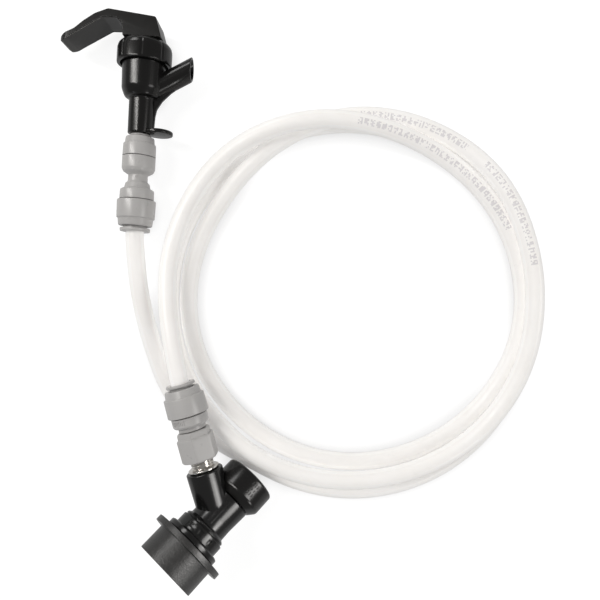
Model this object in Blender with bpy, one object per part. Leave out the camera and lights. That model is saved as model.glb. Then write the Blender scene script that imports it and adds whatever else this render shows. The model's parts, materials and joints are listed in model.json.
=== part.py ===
"""Keg dispensing line: a picnic tap, a push-in reducer, a coiled double-wall line,
a push-in flare adapter with a swivel nut, and a ball-lock liquid disconnect.

The kit lies on a table. The origin is the centre of its footprint on the table,
+Z is up, and +Y points from the disconnect end to the tap end.
Lengths are in millimetres and MM turns them into metres. The tap and reducer are
drawn up the tap's axis, the disconnect up its own axis and the adapter up the arm's.
"""

import math
from typing import NamedTuple

import bmesh
import bpy
from mathutils import Matrix, Vector

MM = 0.001
GAP = 0.3  # running and seating gap between neighbouring pieces
FLOW_RADIUS = 2.2  # bore through the fittings
SPRING_WIRE_RADIUS = 0.42
SHARP_ANGLE = math.radians(32)

# Line
LINE_RADIUS = 4.0
LINE_BORE_RADIUS = 2.0
COIL_CENTRE = (22.1876, -3.1155)
LINE_SAG = 0.0182  # how far the turns rest below their drawn heights
LINE_STEP = 11.0  # spacing of the rings along the line
LINE_SIDES = 8
LINE_STRAIGHT = 3.2  # straight run outside each socket's mouth

# Tap
TAP_ORIGIN = Vector((-72.7824, 72.3945, 12.3318))  # inlet end of the shank
TAP_LEAN = 0.0575  # sideways lean of the tap's axis from +Y
TAP_AXIS = Vector((TAP_LEAN, 1, 0)).normalized()
INLET_RADIUS = 3.175  # 1/4 inch inlet stem
SHANK_RADIUS = 5.72
CUP_RADIUS = 8.78
CUP_RIM_RADIUS = 10.1
CUP_RIM_HEIGHT = 37.2
BONNET_RADIUS = 12.03
BONNET_BORE_RADIUS = 10.5
BONNET_FOOT = 30.7
BONNET_CEILING = 38.9
BONNET_TOP = 40.6
SPOUT_RADIUS = 4.7
SPOUT_BORE_RADIUS = 3.8
SPOUT_RISE = math.radians(31)
SPOUT_ROOT_HEIGHT = 17.4  # where the spout's axis meets the tap's axis
SPOUT_MOUTH_OUT = 21.4  # the flat mouth's distance from the tap's axis
LUG_RADIUS = 6.3
LUG_OUT = 8.1
PIN_HEIGHT = 44.5  # lever pin
STEM_FLANGE_TOP = 28.5

# Sockets: mouths up their axes, gland lengths and how deep a tube goes in
SMALL_MOUTH = -1.6
LARGE_MOUTH = -41.2
ADAPTER_MOUTH = 57.4
SMALL_GLAND = 8.5
LARGE_GLAND = 11.6
ADAPTER_GLAND = 11.7
SOCKET_DEPTH = 14.0
TUBE_INSERTION = SOCKET_DEPTH - GAP

# Disconnect
DISC_ORIGIN = Vector((-57.6324, -114.3655, 32.3818))  # centre of the collar's mouth
DISC_AXIS = Vector((0.660, 0.6255, -0.4157)).normalized()
ARM_AXIS = Vector((-0.2636, 0.9644, 0.0286)).normalized()
ARM_ROOT_HEIGHT = 30.4
ARM_ROOT = DISC_ORIGIN + DISC_AXIS * ARM_ROOT_HEIGHT
ARM_COS = DISC_AXIS.dot(ARM_AXIS)
ARM_SIN = math.sqrt(1 - ARM_COS * ARM_COS)
ARM_RADIUS = 8.0
ARM_END = 20.5
POST_ROOM_RADIUS = 9.6  # cavity for the keg post
POST_ROOM_TOP = 13.6
SKIRT_RADIUS = 11.2
LEDGE_RADIUS = 12.95
LEDGE_HEIGHT = 14.6  # underside of the ledge above the skirt
CAP_SEAT_HEIGHT = 38.9
CAP_CEILING = 42.0
CAP_RADIUS = 12.2
NECK_RADIUS = 6.8  # neck inside the cap
POPPET_FLANGE_FOOT = 19.8
POPPET_FLANGE_TOP = 21.3
BALL_COUNT = 3
BALL_RADIUS = 1.6
BALL_HOLE_RADIUS = 1.85
BALL_HEIGHT = 6.9
BALL_OUT = 10.0
COLLAR_RADIUS = 14.1
COLLAR_FLANGE_RADIUS = 17.6
COLLAR_SHELF = 8.8

# Flare joint
INSERT_ROOM_START = 16.5
INSERT_ROOM_RADIUS = 4.5
INSERT_TOP = 30.8
WASHER_FOOT = INSERT_TOP + GAP
WASHER_TOP = 32.0


for old in list(bpy.data.objects):
    bpy.data.objects.remove(old, do_unlink=True)


# ---------------------------------------------------------------------------
# Materials
def material(name, colour, roughness, metallic=0.0):
    mat = bpy.data.materials.new(name)
    mat.use_nodes = True
    shader = mat.node_tree.nodes["Principled BSDF"]
    shader.inputs["Base Color"].default_value = (*colour, 1.0)
    shader.inputs["Roughness"].default_value = roughness
    shader.inputs["Metallic"].default_value = metallic
    return mat


BLACK_GLOSS = material("black_gloss_plastic", colour=(0.018, 0.018, 0.019), roughness=0.22)
BLACK_SATIN = material("black_satin_plastic", colour=(0.045, 0.045, 0.047), roughness=0.55)
GREY = material("grey_plastic", colour=(0.37, 0.37, 0.38), roughness=0.38)
MILKY = material("milky_line", colour=(0.86, 0.86, 0.85), roughness=0.35)
STEEL = material("stainless", colour=(0.62, 0.61, 0.59), roughness=0.25, metallic=1.0)
RUBBER = material("black_rubber", colour=(0.02, 0.02, 0.02), roughness=0.7)
SILICONE = material("clear_silicone", colour=(0.75, 0.74, 0.7), roughness=0.5)


# ---------------------------------------------------------------------------
# Frames
def frame(name, origin, z_axis, x_hint):
    """An empty whose +Z is z_axis and whose +X is x_hint made square to it."""
    x_axis = (x_hint - x_hint.dot(z_axis) * z_axis).normalized()
    matrix = Matrix((x_axis, z_axis.cross(x_axis), z_axis)).transposed().to_4x4()
    matrix.translation = origin * MM
    empty = bpy.data.objects.new(name, None)
    bpy.context.scene.collection.objects.link(empty)
    empty.matrix_world = matrix
    return empty


tap_frame = frame("tap_frame", TAP_ORIGIN, TAP_AXIS, Vector((1, 0, 0)))
disc_frame = frame("disconnect_frame", DISC_ORIGIN, DISC_AXIS, ARM_AXIS)
arm_frame = frame("arm_frame", ARM_ROOT, ARM_AXIS, DISC_AXIS)


# ---------------------------------------------------------------------------
# Shape helpers
def add(name, bm, parent, mat=None, origin=(0, 0, 0)):
    """Makes an object from a bmesh in its frame's millimetres; one with no material is a helper."""
    bmesh.ops.remove_doubles(bm, verts=bm.verts, dist=1e-4)
    bmesh.ops.recalc_face_normals(bm, faces=bm.faces)
    if bm.calc_volume(signed=True) < 0:
        bmesh.ops.reverse_faces(bm, faces=bm.faces)
    offset = Vector(origin)
    for vert in bm.verts:
        vert.co = (vert.co - offset) * MM
    mesh = bpy.data.meshes.new(name)
    bm.to_mesh(mesh)
    bm.free()
    mesh.shade_smooth()
    mesh.set_sharp_from_angle(angle=SHARP_ANGLE)
    obj = bpy.data.objects.new(name, mesh)
    bpy.context.scene.collection.objects.link(obj)
    obj.parent = parent
    obj.location = offset * MM
    if mat:
        mesh.materials.append(mat)
    else:
        obj.hide_render = True
        obj.display_type = "WIRE"
    return obj


def lathe(name, profile, parent, mat=None, steps=24, origin=(0, 0, 0)):
    """A closed (radius, height) outline spun about +Z."""
    bm = bmesh.new()
    verts = [bm.verts.new((radius, 0, height)) for radius, height in profile]
    # an edge lying on the axis would sweep no face
    edges = [
        bm.edges.new((vert, after))
        for vert, after in zip(verts, verts[1:] + verts[:1])
        if vert.co.x > 1e-6 or after.co.x > 1e-6
    ]
    bmesh.ops.spin(
        bm, geom=verts + edges, cent=(0, 0, 0), axis=(0, 0, 1), dvec=(0, 0, 0),
        angle=2 * math.pi, steps=steps, use_merge=True, use_duplicate=False,
    )
    bmesh.ops.remove_doubles(bm, verts=bm.verts, dist=1e-5)
    return add(name, bm, parent, mat, origin)


def loft_mesh(rings, closed=False):
    """Joins rings of equal length. closed joins last to first, else both ends are capped."""
    bm = bmesh.new()
    rows = [[bm.verts.new(point) for point in ring] for ring in rings]
    count = len(rows[0])
    pairs = list(zip(rows, rows[1:]))
    if closed:
        pairs.append((rows[-1], rows[0]))
    for low, high in pairs:
        for i in range(count):
            j = (i + 1) % count
            bm.faces.new((low[i], low[j], high[j], high[i]))
    if not closed:
        bm.faces.new(rows[0][::-1])
        bm.faces.new(rows[-1])
    return bm


def circle(centre, radius, x_axis, y_axis, steps, shift=0.0):
    """Points round a centre; shift turns them by a part of a step."""
    angles = [2 * math.pi * (i + shift) / steps for i in range(steps)]
    return [centre + radius * (math.cos(a) * x_axis + math.sin(a) * y_axis) for a in angles]


def rod_mesh(start, end, radius, steps):
    z_axis = (end - start).normalized()
    x_axis = z_axis.orthogonal().normalized()
    y_axis = z_axis.cross(x_axis)
    return loft_mesh([circle(point, radius, x_axis, y_axis, steps) for point in (start, end)])


def prism(name, outline, half, parent, mat=None, origin=(0, 0, 0)):
    """An (x, z) outline extruded to -half..+half along Y."""
    bm = bmesh.new()
    face = bm.faces.new([bm.verts.new((x, -half, z)) for x, z in outline])
    made = bmesh.ops.extrude_face_region(bm, geom=[face])
    for item in made["geom"]:
        if isinstance(item, bmesh.types.BMVert):
            item.co.y = half
    return add(name, bm, parent, mat, origin)


def oring(name, parent, height, major, minor, sides=5):
    angles = [2 * math.pi * (i + 0.5) / sides for i in range(sides)]
    outline = [(major + minor * math.cos(a), height + minor * math.sin(a)) for a in angles]
    lathe(name, outline, parent, RUBBER, steps=14)


def spring(name, parent, foot, top, radius, turns, wire=SPRING_WIRE_RADIUS, per_turn=10):
    """A square-wire compression spring along +Z that fills the heights foot to top."""
    low = foot + wire
    rise = top - wire - low
    count = int(turns * per_turn)
    rings = []
    for k in range(count + 1):
        t = k / count
        angle = 2 * math.pi * turns * t
        out = Vector((math.cos(angle), math.sin(angle), 0))
        centre = radius * out + Vector((0, 0, low + rise * t))
        round_axis = Vector((-out.y, out.x, 0)) * 2 * math.pi * radius
        along = (round_axis + Vector((0, 0, rise / turns))).normalized()
        rings.append(circle(centre, wire, out, along.cross(out), steps=4, shift=0.5))
    add(name, loft_mesh(rings), parent, STEEL)


def boolean(obj, operation, *others):
    for other in others:
        mod = obj.modifiers.new(operation.lower() + "_" + other.name, "BOOLEAN")
        mod.operation = operation
        mod.solver = "EXACT"
        mod.object = other


# ---------------------------------------------------------------------------
# Tap
def spout_mesh(radius, start, mouth_out, steps=20):
    """A tube along the spout's axis, square at the start and cut parallel to the tap's axis."""
    along = Vector((math.cos(SPOUT_RISE), 0, math.sin(SPOUT_RISE)))
    side = Vector((-along.z, 0, along.x))
    root = Vector((0, 0, SPOUT_ROOT_HEIGHT))
    ring = circle(root, radius, side, Vector((0, 1, 0)), steps)
    first = [point + start * along for point in ring]
    last = [point + (mouth_out - point.x) / along.x * along for point in ring]
    return loft_mesh([first, last])


def build_tap_body():
    foot = SMALL_MOUTH - TUBE_INSERTION
    profile = [
        (0, foot), (INLET_RADIUS - 0.5, foot), (INLET_RADIUS, foot + 0.5), (INLET_RADIUS, 0),
        (SHANK_RADIUS - 0.4, 0), (SHANK_RADIUS, 0.5), (SHANK_RADIUS, 15.6), (6.9, 16.4),
        (8.1, 17.9), (CUP_RADIUS, 19.6), (CUP_RADIUS + 0.1, 31.2), (CUP_RIM_RADIUS, 31.7),
        (CUP_RIM_RADIUS, CUP_RIM_HEIGHT), (0, CUP_RIM_HEIGHT),
    ]
    body = lathe("tap_body", profile, tap_frame, BLACK_GLOSS, steps=28)

    spout = add("spout_shape", spout_mesh(SPOUT_RADIUS, 3.0, SPOUT_MOUTH_OUT), tap_frame)
    web_outline = [
        (3.5, 2.6), (6.0, 2.6), (6.2, 8.0), (6.6, 11.3), (8.6, 14.9),
        (12.4, 19.2), (14.4, 21.0), (8.0, 21.5), (3.5, 16.0),
    ]
    web = prism("web_shape", web_outline, 1.0, tap_frame)
    lug_profile = [
        (0, 0.05), (LUG_RADIUS - 0.3, 0.05), (LUG_RADIUS, 0.35),
        (LUG_RADIUS, 1.35), (LUG_RADIUS - 0.3, 1.65), (0, 1.65),
    ]
    lug = lathe("lug_shape", lug_profile, tap_frame, steps=22)
    lug.location.x = LUG_OUT * MM
    # inlet bore, raised valve seat and the open cup above it
    chamber_profile = [
        (0, -17), (2.1, -17), (2.1, 21.3), (3.3, 21.3),
        (3.3, 20.5), (7.0, 20.5), (7.0, 38.5), (0, 38.5),
    ]
    chamber = lathe("chamber_shape", chamber_profile, tap_frame)
    bore_mesh = spout_mesh(SPOUT_BORE_RADIUS, 7.0, SPOUT_MOUTH_OUT + 2.0)
    spout_bore = add("spout_bore_shape", bore_mesh, tap_frame)
    boolean(body, "UNION", spout, web, lug)
    boolean(body, "DIFFERENCE", chamber, spout_bore)


def build_bonnet():
    profile = [
        (BONNET_BORE_RADIUS, BONNET_FOOT), (BONNET_RADIUS - 0.3, BONNET_FOOT),
        (BONNET_RADIUS, BONNET_FOOT + 0.3), (BONNET_RADIUS, 37.6), (11.5, 38.9), (10.6, 40.0),
        (9.8, BONNET_TOP), (2.1, BONNET_TOP), (2.1, BONNET_CEILING),
        (BONNET_BORE_RADIUS, BONNET_CEILING),
    ]
    lathe("tap_bonnet", profile, tap_frame, BLACK_GLOSS)
    low, high = CUP_RIM_HEIGHT + GAP, BONNET_CEILING - GAP
    seal = [(5.0, low), (CUP_RIM_RADIUS, low), (CUP_RIM_RADIUS, high), (5.0, high)]
    lathe("bonnet_seal", seal, tap_frame, RUBBER, steps=20)


def pin_rod(half, radius, steps=14):
    """A rod across the tap's axis on the lever pin's line."""
    return rod_mesh(Vector((0, -half, PIN_HEIGHT)), Vector((0, half, PIN_HEIGHT)), radius, steps)


def build_lever(pin_hole):
    """One side outline, with a slot for the stem's eye and a cross hole for the pin."""
    outline = [
        (8.9, 40.9), (5.8, 49.9), (-14.8, 52.0), (-20.6, 49.3), (-25.3, 46.0), (-29.2, 42.4),
        (-33.4, 40.2), (-35.0, 38.6), (-35.0, 37.2), (-33.6, 36.4), (-31.6, 37.4), (-24.2, 42.5),
        (-17.0, 47.4), (-10.6, 47.6), (-8.9, 46.4), (-8.2, 44.6), (-8.2, 40.9),
    ]
    lever = prism("tap_lever", outline, 7.0, tap_frame, BLACK_GLOSS, (0, 0, PIN_HEIGHT))
    slot_outline = [(-5.0, 40.0), (5.5, 40.0), (4.6, 48.2), (-5.0, 48.2)]
    slot = prism("slot_shape", slot_outline, 2.9, tap_frame)
    boolean(lever, "DIFFERENCE", slot, pin_hole)


def build_stem(pin_hole):
    profile = [
        (0, 23.6), (1.4, 23.6), (1.4, 27.6), (3.2, 27.6), (3.2, STEM_FLANGE_TOP),
        (1.6, STEM_FLANGE_TOP), (1.6, PIN_HEIGHT), (0, PIN_HEIGHT),
    ]
    stem = lathe("tap_stem", profile, tap_frame, BLACK_SATIN, 14, (0, 0, PIN_HEIGHT))
    eye = add("eye_shape", pin_rod(2.2, 2.65, steps=18), tap_frame)
    boolean(stem, "UNION", eye)
    boolean(stem, "DIFFERENCE", pin_hole)


def build_tap_seat():
    profile = [
        (0, 21.6), (3.6, 21.6), (4.3, 22.1), (4.3, 23.2), (3.0, 24.2),
        (2.9, 27.3), (1.7, 27.3), (1.7, 23.3), (0, 23.3),
    ]
    lathe("tap_seat", profile, tap_frame, SILICONE, steps=18)


def build_tap():
    build_tap_body()
    build_bonnet()
    pin_hole = add("pin_hole_shape", pin_rod(5.5, 1.6), tap_frame)
    build_lever(pin_hole)
    add("lever_pin", pin_rod(5.2, 1.25), tap_frame, STEEL, (0, 0, PIN_HEIGHT))
    build_stem(pin_hole)
    build_tap_seat()
    spring("tap_spring", tap_frame, foot=STEM_FLANGE_TOP + GAP, top=BONNET_CEILING - GAP,
           radius=3.9, turns=4.5)


# ---------------------------------------------------------------------------
# Push-in sockets
class Socket(NamedTuple):
    parent: bpy.types.Object
    mouth: float  # the end face's place along the frame's Z
    inward: int  # +1 or -1 along Z
    tube_radius: float
    gland_length: float

    def place(self, outline):
        """Turns (radius beyond the tube, depth from the mouth) into (radius, height)."""
        return [(self.tube_radius + r, self.mouth + self.inward * depth) for r, depth in outline]

    def inside(self):
        """The body's inside outline, from its face against the gland to its bore."""
        face = self.gland_length + GAP
        steps = [(2.1, face), (2.1, 6.3), (1.55, 6.3), (1.55, 9.9), (0.33, 9.9),
                 (0.33, SOCKET_DEPTH)]
        return self.place(steps) + [(FLOW_RADIUS, self.mouth + self.inward * SOCKET_DEPTH)]


def build_push_in(prefix, socket, gland_outside, flange_radius, flange_thickness, travel):
    """Gland, collet, grip ring and two O-rings; gland_outside is (radius, depth)."""
    parent, tube_radius = socket.parent, socket.tube_radius
    origin = (0, 0, socket.mouth)
    gland = socket.place([(1.45, 0)])
    gland += [(radius, socket.mouth + socket.inward * depth) for radius, depth in gland_outside]
    gland += socket.place([(2.4, socket.gland_length), (2.4, 3.4), (1.45, 3.0)])
    lathe(prefix + "_gland", gland, parent, GREY, steps=20)

    flange = flange_radius - tube_radius
    collet = [
        (0.33, -travel - flange_thickness), (flange - 0.25, -travel - flange_thickness),
        (flange, -travel - flange_thickness * 0.5), (flange - 0.2, -travel),
        (1.15, -travel), (1.15, 3.6), (2.0, 4.2), (1.7, 5.3), (0.33, 5.3),
        (0.33, 4.95), (1.23, 4.95), (1.23, 3.95), (0.33, 3.95),
    ]
    lathe(prefix + "_collet", socket.place(collet), parent, GREY, 16, origin)
    grip = [(GAP, 4.65), (0.95, 4.25), (0.95, 4.6), (0.6, 4.65)]
    lathe(prefix + "_grip_ring", socket.place(grip), parent, STEEL, 12, origin)
    for tag, depth in (("outer", 7.3), ("inner", 8.8)):
        height = socket.mouth + socket.inward * depth
        oring(prefix + "_oring_" + tag, parent, height, major=tube_radius + 0.77, minor=0.45)


def build_reducer():
    small = Socket(tap_frame, SMALL_MOUTH, -1, INLET_RADIUS, SMALL_GLAND)
    small_gland = [(6.2, 0), (6.53, 0.4), (6.53, 2.7), (7.05, 3.0), (7.27, 3.6),
                   (7.27, SMALL_GLAND)]
    build_push_in("reducer_small", small, small_gland,
                  flange_radius=4.65, flange_thickness=0.75, travel=0.55)
    large = Socket(tap_frame, LARGE_MOUTH, 1, LINE_RADIUS, LARGE_GLAND)
    large_gland = [(7.4, 0), (7.77, 0.5), (7.77, 3.3), (8.3, 3.5), (8.51, 4.2), (8.51, 11.4),
                   (8.3, LARGE_GLAND)]
    build_push_in("reducer_large", large, large_gland,
                  flange_radius=6.66, flange_thickness=1.3, travel=1.1)
    outside = [
        (7.53, LARGE_MOUTH + LARGE_GLAND + GAP), (7.45, -27.0), (7.1, -25.0), (6.4, -24.5),
        (5.79, -24.3), (5.5, -22.6), (4.3, -21.3), (4.26, -18.4), (6.9, -16.8), (7.27, -16.0),
        (7.27, SMALL_MOUTH - SMALL_GLAND - GAP),
    ]
    profile = small.inside() + large.inside()[::-1] + outside
    lathe("reducer_body", profile, tap_frame, GREY, steps=20)


def build_adapter():
    socket = Socket(arm_frame, ADAPTER_MOUTH, -1, LINE_RADIUS, ADAPTER_GLAND)
    gland = [(7.4, 0), (7.8, 0.5), (7.9, 3.1), (8.7, 3.3), (9.03, 4.0), (9.03, 11.4),
             (8.8, ADAPTER_GLAND)]
    build_push_in("adapter", socket, gland, flange_radius=6.4, flange_thickness=1.2, travel=1.0)
    foot = WASHER_TOP + GAP
    outside = [
        (FLOW_RADIUS, foot), (3.0, foot), (4.5, 33.6), (5.2, 33.9), (5.2, 35.5), (4.4, 35.7),
        (4.4, 39.1), (6.0, 39.1), (6.0, 40.9), (7.3, 41.2), (7.9, 41.7),
        (7.9, ADAPTER_MOUTH - ADAPTER_GLAND - GAP),
    ]
    lathe("adapter_body", socket.inside() + outside, arm_frame, GREY, steps=20)


# ---------------------------------------------------------------------------
# Flare joint
def build_swivel_nut(steps=24):
    """A hexagon nut with a chamfered foot, a narrower hexagon step on top and a round bore."""
    # (across-flats radius, limit on the corner radius, height)
    outer = [
        (7.3, 7.9, 25.5), (7.3, 8.5, 26.3), (7.3, 8.5, 35.4), (7.3, 7.9, 36.1),
        (6.55, 7.6, 36.15), (6.55, 7.6, 38.3), (6.3, 7.0, 38.8),
    ]
    # (radius, height)
    bore = [(4.75, 38.8), (4.75, 36.3), (5.65, 35.9), (5.65, 26.3), (5.9, 25.5)]
    angles = [2 * math.pi * i / steps for i in range(steps)]
    rings = []
    for flat, limit, height in outer:
        ring = []
        for angle in angles:
            from_flat = math.radians(math.degrees(angle) % 60 - 30)
            radius = min(flat / math.cos(from_flat), limit)
            ring.append((radius * math.cos(angle), radius * math.sin(angle), height))
        rings.append(ring)
    for radius, height in bore:
        rings.append([(radius * math.cos(a), radius * math.sin(a), height) for a in angles])
    add("swivel_nut", loft_mesh(rings, closed=True), arm_frame, GREY)


def build_flare():
    washer = [(2.6, WASHER_FOOT), (4.6, WASHER_FOOT), (4.6, WASHER_TOP), (2.6, WASHER_TOP)]
    lathe("flare_washer", washer, arm_frame, SILICONE, steps=18)
    foot = INSERT_ROOM_START + GAP
    root_radius = INSERT_ROOM_RADIUS - GAP
    flange_foot = ARM_END + GAP
    insert = [
        (FLOW_RADIUS, foot), (root_radius, foot), (root_radius, 20.3), (4.0, 20.6),
        (4.0, flange_foot), (6.5, flange_foot), (6.7, 21.1), (6.7, 21.7), (6.3, 22.0),
        (4.35, 22.1), (4.35, 25.8), (5.2, 26.2), (5.2, 29.4), (3.4, INSERT_TOP),
        (FLOW_RADIUS, INSERT_TOP),
    ]
    lathe("flare_insert", insert, arm_frame, STEEL, steps=18)


# ---------------------------------------------------------------------------
# Disconnect
def arm_rod(name, start, end, radius, steps):
    """A rod along the arm, between two distances from its root."""
    ends = [Vector((ARM_SIN * s, 0, ARM_ROOT_HEIGHT + ARM_COS * s)) for s in (start, end)]
    return add(name, rod_mesh(*ends, radius, steps), disc_frame)


def build_arm():
    arm = arm_rod("arm_shape", 1.5, ARM_END, ARM_RADIUS, steps=24)
    room_profile = [(0, CAP_SEAT_HEIGHT), (9.95, CAP_SEAT_HEIGHT), (12.6, 42.1), (12.6, 60),
                    (0, 60)]
    cap_room = lathe("cap_room_shape", room_profile, disc_frame, steps=28)
    boolean(arm, "DIFFERENCE", cap_room)
    return arm


def build_disconnect_body():
    profile = [
        (0, 0.8), (SKIRT_RADIUS - 0.3, 0.8), (SKIRT_RADIUS, 1.1), (SKIRT_RADIUS, LEDGE_HEIGHT),
        (LEDGE_RADIUS, LEDGE_HEIGHT), (LEDGE_RADIUS, 16.6), (12.6, 17.1), (10.9, 17.5),
        (10.7, 18.6), (10.5, 22.2), (9.7, 23.2), (8.9, 24.1), (8.85, 29.0), (9.4, 38.4),
        (9.1, CAP_SEAT_HEIGHT), (NECK_RADIUS, CAP_SEAT_HEIGHT), (NECK_RADIUS, 49.0), (0, 49.0),
    ]
    body = lathe("disconnect_body", profile, disc_frame, BLACK_GLOSS, steps=28)
    arm = build_arm()
    cavity_profile = [
        (0, 0), (POST_ROOM_RADIUS, 0), (POST_ROOM_RADIUS, POST_ROOM_TOP),
        (FLOW_RADIUS, POST_ROOM_TOP), (FLOW_RADIUS, 17.0), (4.6, 17.0), (4.6, 50), (0, 50),
    ]
    cavity = lathe("cavity_shape", cavity_profile, disc_frame, steps=26)
    arm_bore = arm_rod("arm_bore_shape", 2.0, 17.2, FLOW_RADIUS, steps=14)
    insert_room = arm_rod("insert_room_shape", INSERT_ROOM_START, 21.5, INSERT_ROOM_RADIUS,
                          steps=20)
    boolean(body, "UNION", arm)
    boolean(body, "DIFFERENCE", cavity, arm_bore, insert_room)
    return body


def build_lock_balls(body):
    height = Vector((0, 0, BALL_HEIGHT))
    for k in range(BALL_COUNT):
        angle = math.radians(30 + 360 / BALL_COUNT * k)
        out = Vector((math.cos(angle), math.sin(angle), 0))
        hole_mesh = rod_mesh(out * 8.2 + height, out * 12.5 + height, BALL_HOLE_RADIUS, steps=14)
        boolean(body, "DIFFERENCE", add(f"ball_hole_{k + 1}_shape", hole_mesh, disc_frame))
        centre = out * BALL_OUT + height
        ball = bmesh.new()
        bmesh.ops.create_icosphere(
            ball, subdivisions=2, radius=BALL_RADIUS, matrix=Matrix.Translation(centre)
        )
        add(f"lock_ball_{k + 1}", ball, disc_frame, STEEL, centre)


def build_cap():
    foot = CAP_SEAT_HEIGHT + GAP
    neck_room = NECK_RADIUS + GAP
    profile = [
        (9.7, foot), (10.9, 40.6), (CAP_RADIUS - 0.2, 41.9), (CAP_RADIUS, 42.5),
        (CAP_RADIUS, 51.2), (11.5, 51.9), (0, 52.0), (0, CAP_CEILING), (4.2, CAP_CEILING),
        (4.2, 50.4), (neck_room, 50.4), (neck_room, foot),
    ]
    lathe("disconnect_cap", profile, disc_frame, BLACK_GLOSS)
    oring("cap_oring", disc_frame, height=49.7, major=5.75, minor=0.42)


def build_poppet():
    foot, flange_foot, flange_top = 8.4, POPPET_FLANGE_FOOT, POPPET_FLANGE_TOP
    pin = [
        (0, foot), (1.0, foot), (1.5, foot + 0.5), (1.5, flange_foot), (3.6, flange_foot),
        (3.6, flange_top), (1.2, flange_top), (1.2, 25.5), (0, 25.5),
    ]
    lathe("poppet_pin", pin, disc_frame, STEEL, 14, (0, 0, foot))
    seal_foot, seal_top = 17.3, flange_foot - GAP
    seal = [(1.8, seal_foot), (3.6, seal_foot), (4.2, 17.8), (4.2, seal_top), (1.8, seal_top)]
    lathe("poppet_seal", seal, disc_frame, RUBBER, 16, (0, 0, seal_foot))
    spring("poppet_spring", disc_frame, foot=flange_top + GAP, top=CAP_CEILING - GAP,
           radius=3.5, turns=6.5)


def build_post_seal():
    top = POST_ROOM_TOP - GAP
    profile = [(3.4, 10.9), (8.3, 10.9), (9.2, 11.7), (9.2, top), (3.4, top)]
    lathe("post_seal", profile, disc_frame, RUBBER, steps=22)


def build_collar():
    outer, flange = COLLAR_RADIUS, COLLAR_FLANGE_RADIUS
    profile = [
        (12.9, 0), (outer - 0.25, 0), (outer, 0.25), (outer, 11.6), (flange - 0.2, 11.6),
        (flange, 11.8), (flange, 14.0), (flange - 0.2, 14.2), (13.3, 14.2),
        (13.3, COLLAR_SHELF), (11.8, COLLAR_SHELF), (11.8, 6.5), (12.75, 4.1), (12.9, 3.7),
    ]
    lathe("release_collar", profile, disc_frame, BLACK_SATIN, steps=28)
    spring("collar_spring", disc_frame, foot=COLLAR_SHELF + GAP, top=LEDGE_HEIGHT - GAP,
           radius=12.25, turns=2.5, wire=0.4, per_turn=14)


# ---------------------------------------------------------------------------
# Line
# Stations along the coil: turn angle in degrees from +X round the coil's centre,
# counted on through three turns, then the centre line's radius and height.
STATIONS = [
    (170.8, 98.2, 10.9), (180.7, 95.2, 8.2), (188.0, 93.7, 6.2), (195.4, 92.8, 4.7),
    (202.5, 92.7, 4.0), (208.0, 92.2, 4.0), (214.0, 91.2, 4.0), (220.0, 90.0, 4.0),
    (226.0, 88.3, 4.0), (232.0, 86.5, 4.0), (238.0, 85.4, 4.0), (244.0, 85.3, 4.0),
    (255.0, 85.7, 4.0), (270.0, 86.1, 4.0), (285.0, 86.0, 4.0), (300.0, 85.6, 4.0),
    (318.0, 84.5, 4.0), (340.0, 82.0, 4.0), (360.0, 79.6, 4.0), (390.0, 80.4, 4.0),
    (417.0, 81.2, 4.0), (450.0, 82.6, 4.0), (480.0, 83.6, 4.0), (510.0, 84.2, 4.0),
    (540.0, 83.4, 4.0), (560.0, 83.2, 4.0), (568.0, 83.1, 4.0), (574.0, 82.6, 4.6),
    (580.0, 82.0, 7.2), (586.0, 81.6, 9.6), (592.0, 81.4, 11.1), (598.0, 81.2, 11.6),
    (604.0, 81.0, 11.4), (615.0, 80.6, 10.8), (630.0, 80.1, 10.2), (645.0, 79.9, 10.7),
    (660.0, 80.0, 12.1), (678.0, 80.0, 14.8), (700.0, 79.2, 18.6), (720.0, 78.8, 20.3),
    (740.0, 80.4, 19.8), (750.0, 82.2, 18.6), (760.0, 84.0, 16.7), (770.0, 85.2, 14.2),
    (780.0, 85.5, 12.5), (795.0, 85.0, 12.2), (810.0, 83.9, 12.2), (825.0, 81.4, 12.2),
    (832.0, 80.0, 11.9), (840.0, 78.5, 10.9), (848.0, 77.1, 9.2), (855.0, 76.2, 7.4),
    (863.0, 75.5, 5.4), (872.0, 75.2, 4.2), (900.0, 75.0, 4.0), (920.0, 74.3, 4.0),
    (940.0, 73.4, 4.0), (960.0, 73.0, 4.0), (990.0, 73.1, 4.0), (1010.0, 73.6, 4.2),
    (1038.0, 74.9, 6.6), (1060.0, 76.0, 10.3), (1080.0, 76.8, 12.1), (1105.0, 76.9, 12.1),
    (1137.0, 77.0, 12.6), (1155.0, 77.8, 16.4), (1168.0, 79.2, 19.6), (1180.0, 81.6, 20.4),
    (1190.0, 83.4, 19.8), (1201.0, 85.4, 17.4), (1213.0, 86.8, 13.9), (1235.0, 85.3, 12.7),
    (1248.0, 83.7, 14.4), (1260.0, 81.8, 17.4), (1270.0, 81.0, 20.0),
]


def cubic(start, start_slope, end, end_slope, t):
    """The cubic between two values or points with the given slopes, at t from 0 to 1."""
    return (
        (2 * t**3 - 3 * t**2 + 1) * start + (t**3 - 2 * t**2 + t) * start_slope
        + (-2 * t**3 + 3 * t**2) * end + (t**3 - t**2) * end_slope
    )


def coil_point(turn, radius, height):
    angle = math.radians(turn)
    return Vector((
        COIL_CENTRE[0] + radius * math.cos(angle),
        COIL_CENTRE[1] + radius * math.sin(angle),
        height - LINE_SAG,
    ))


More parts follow.
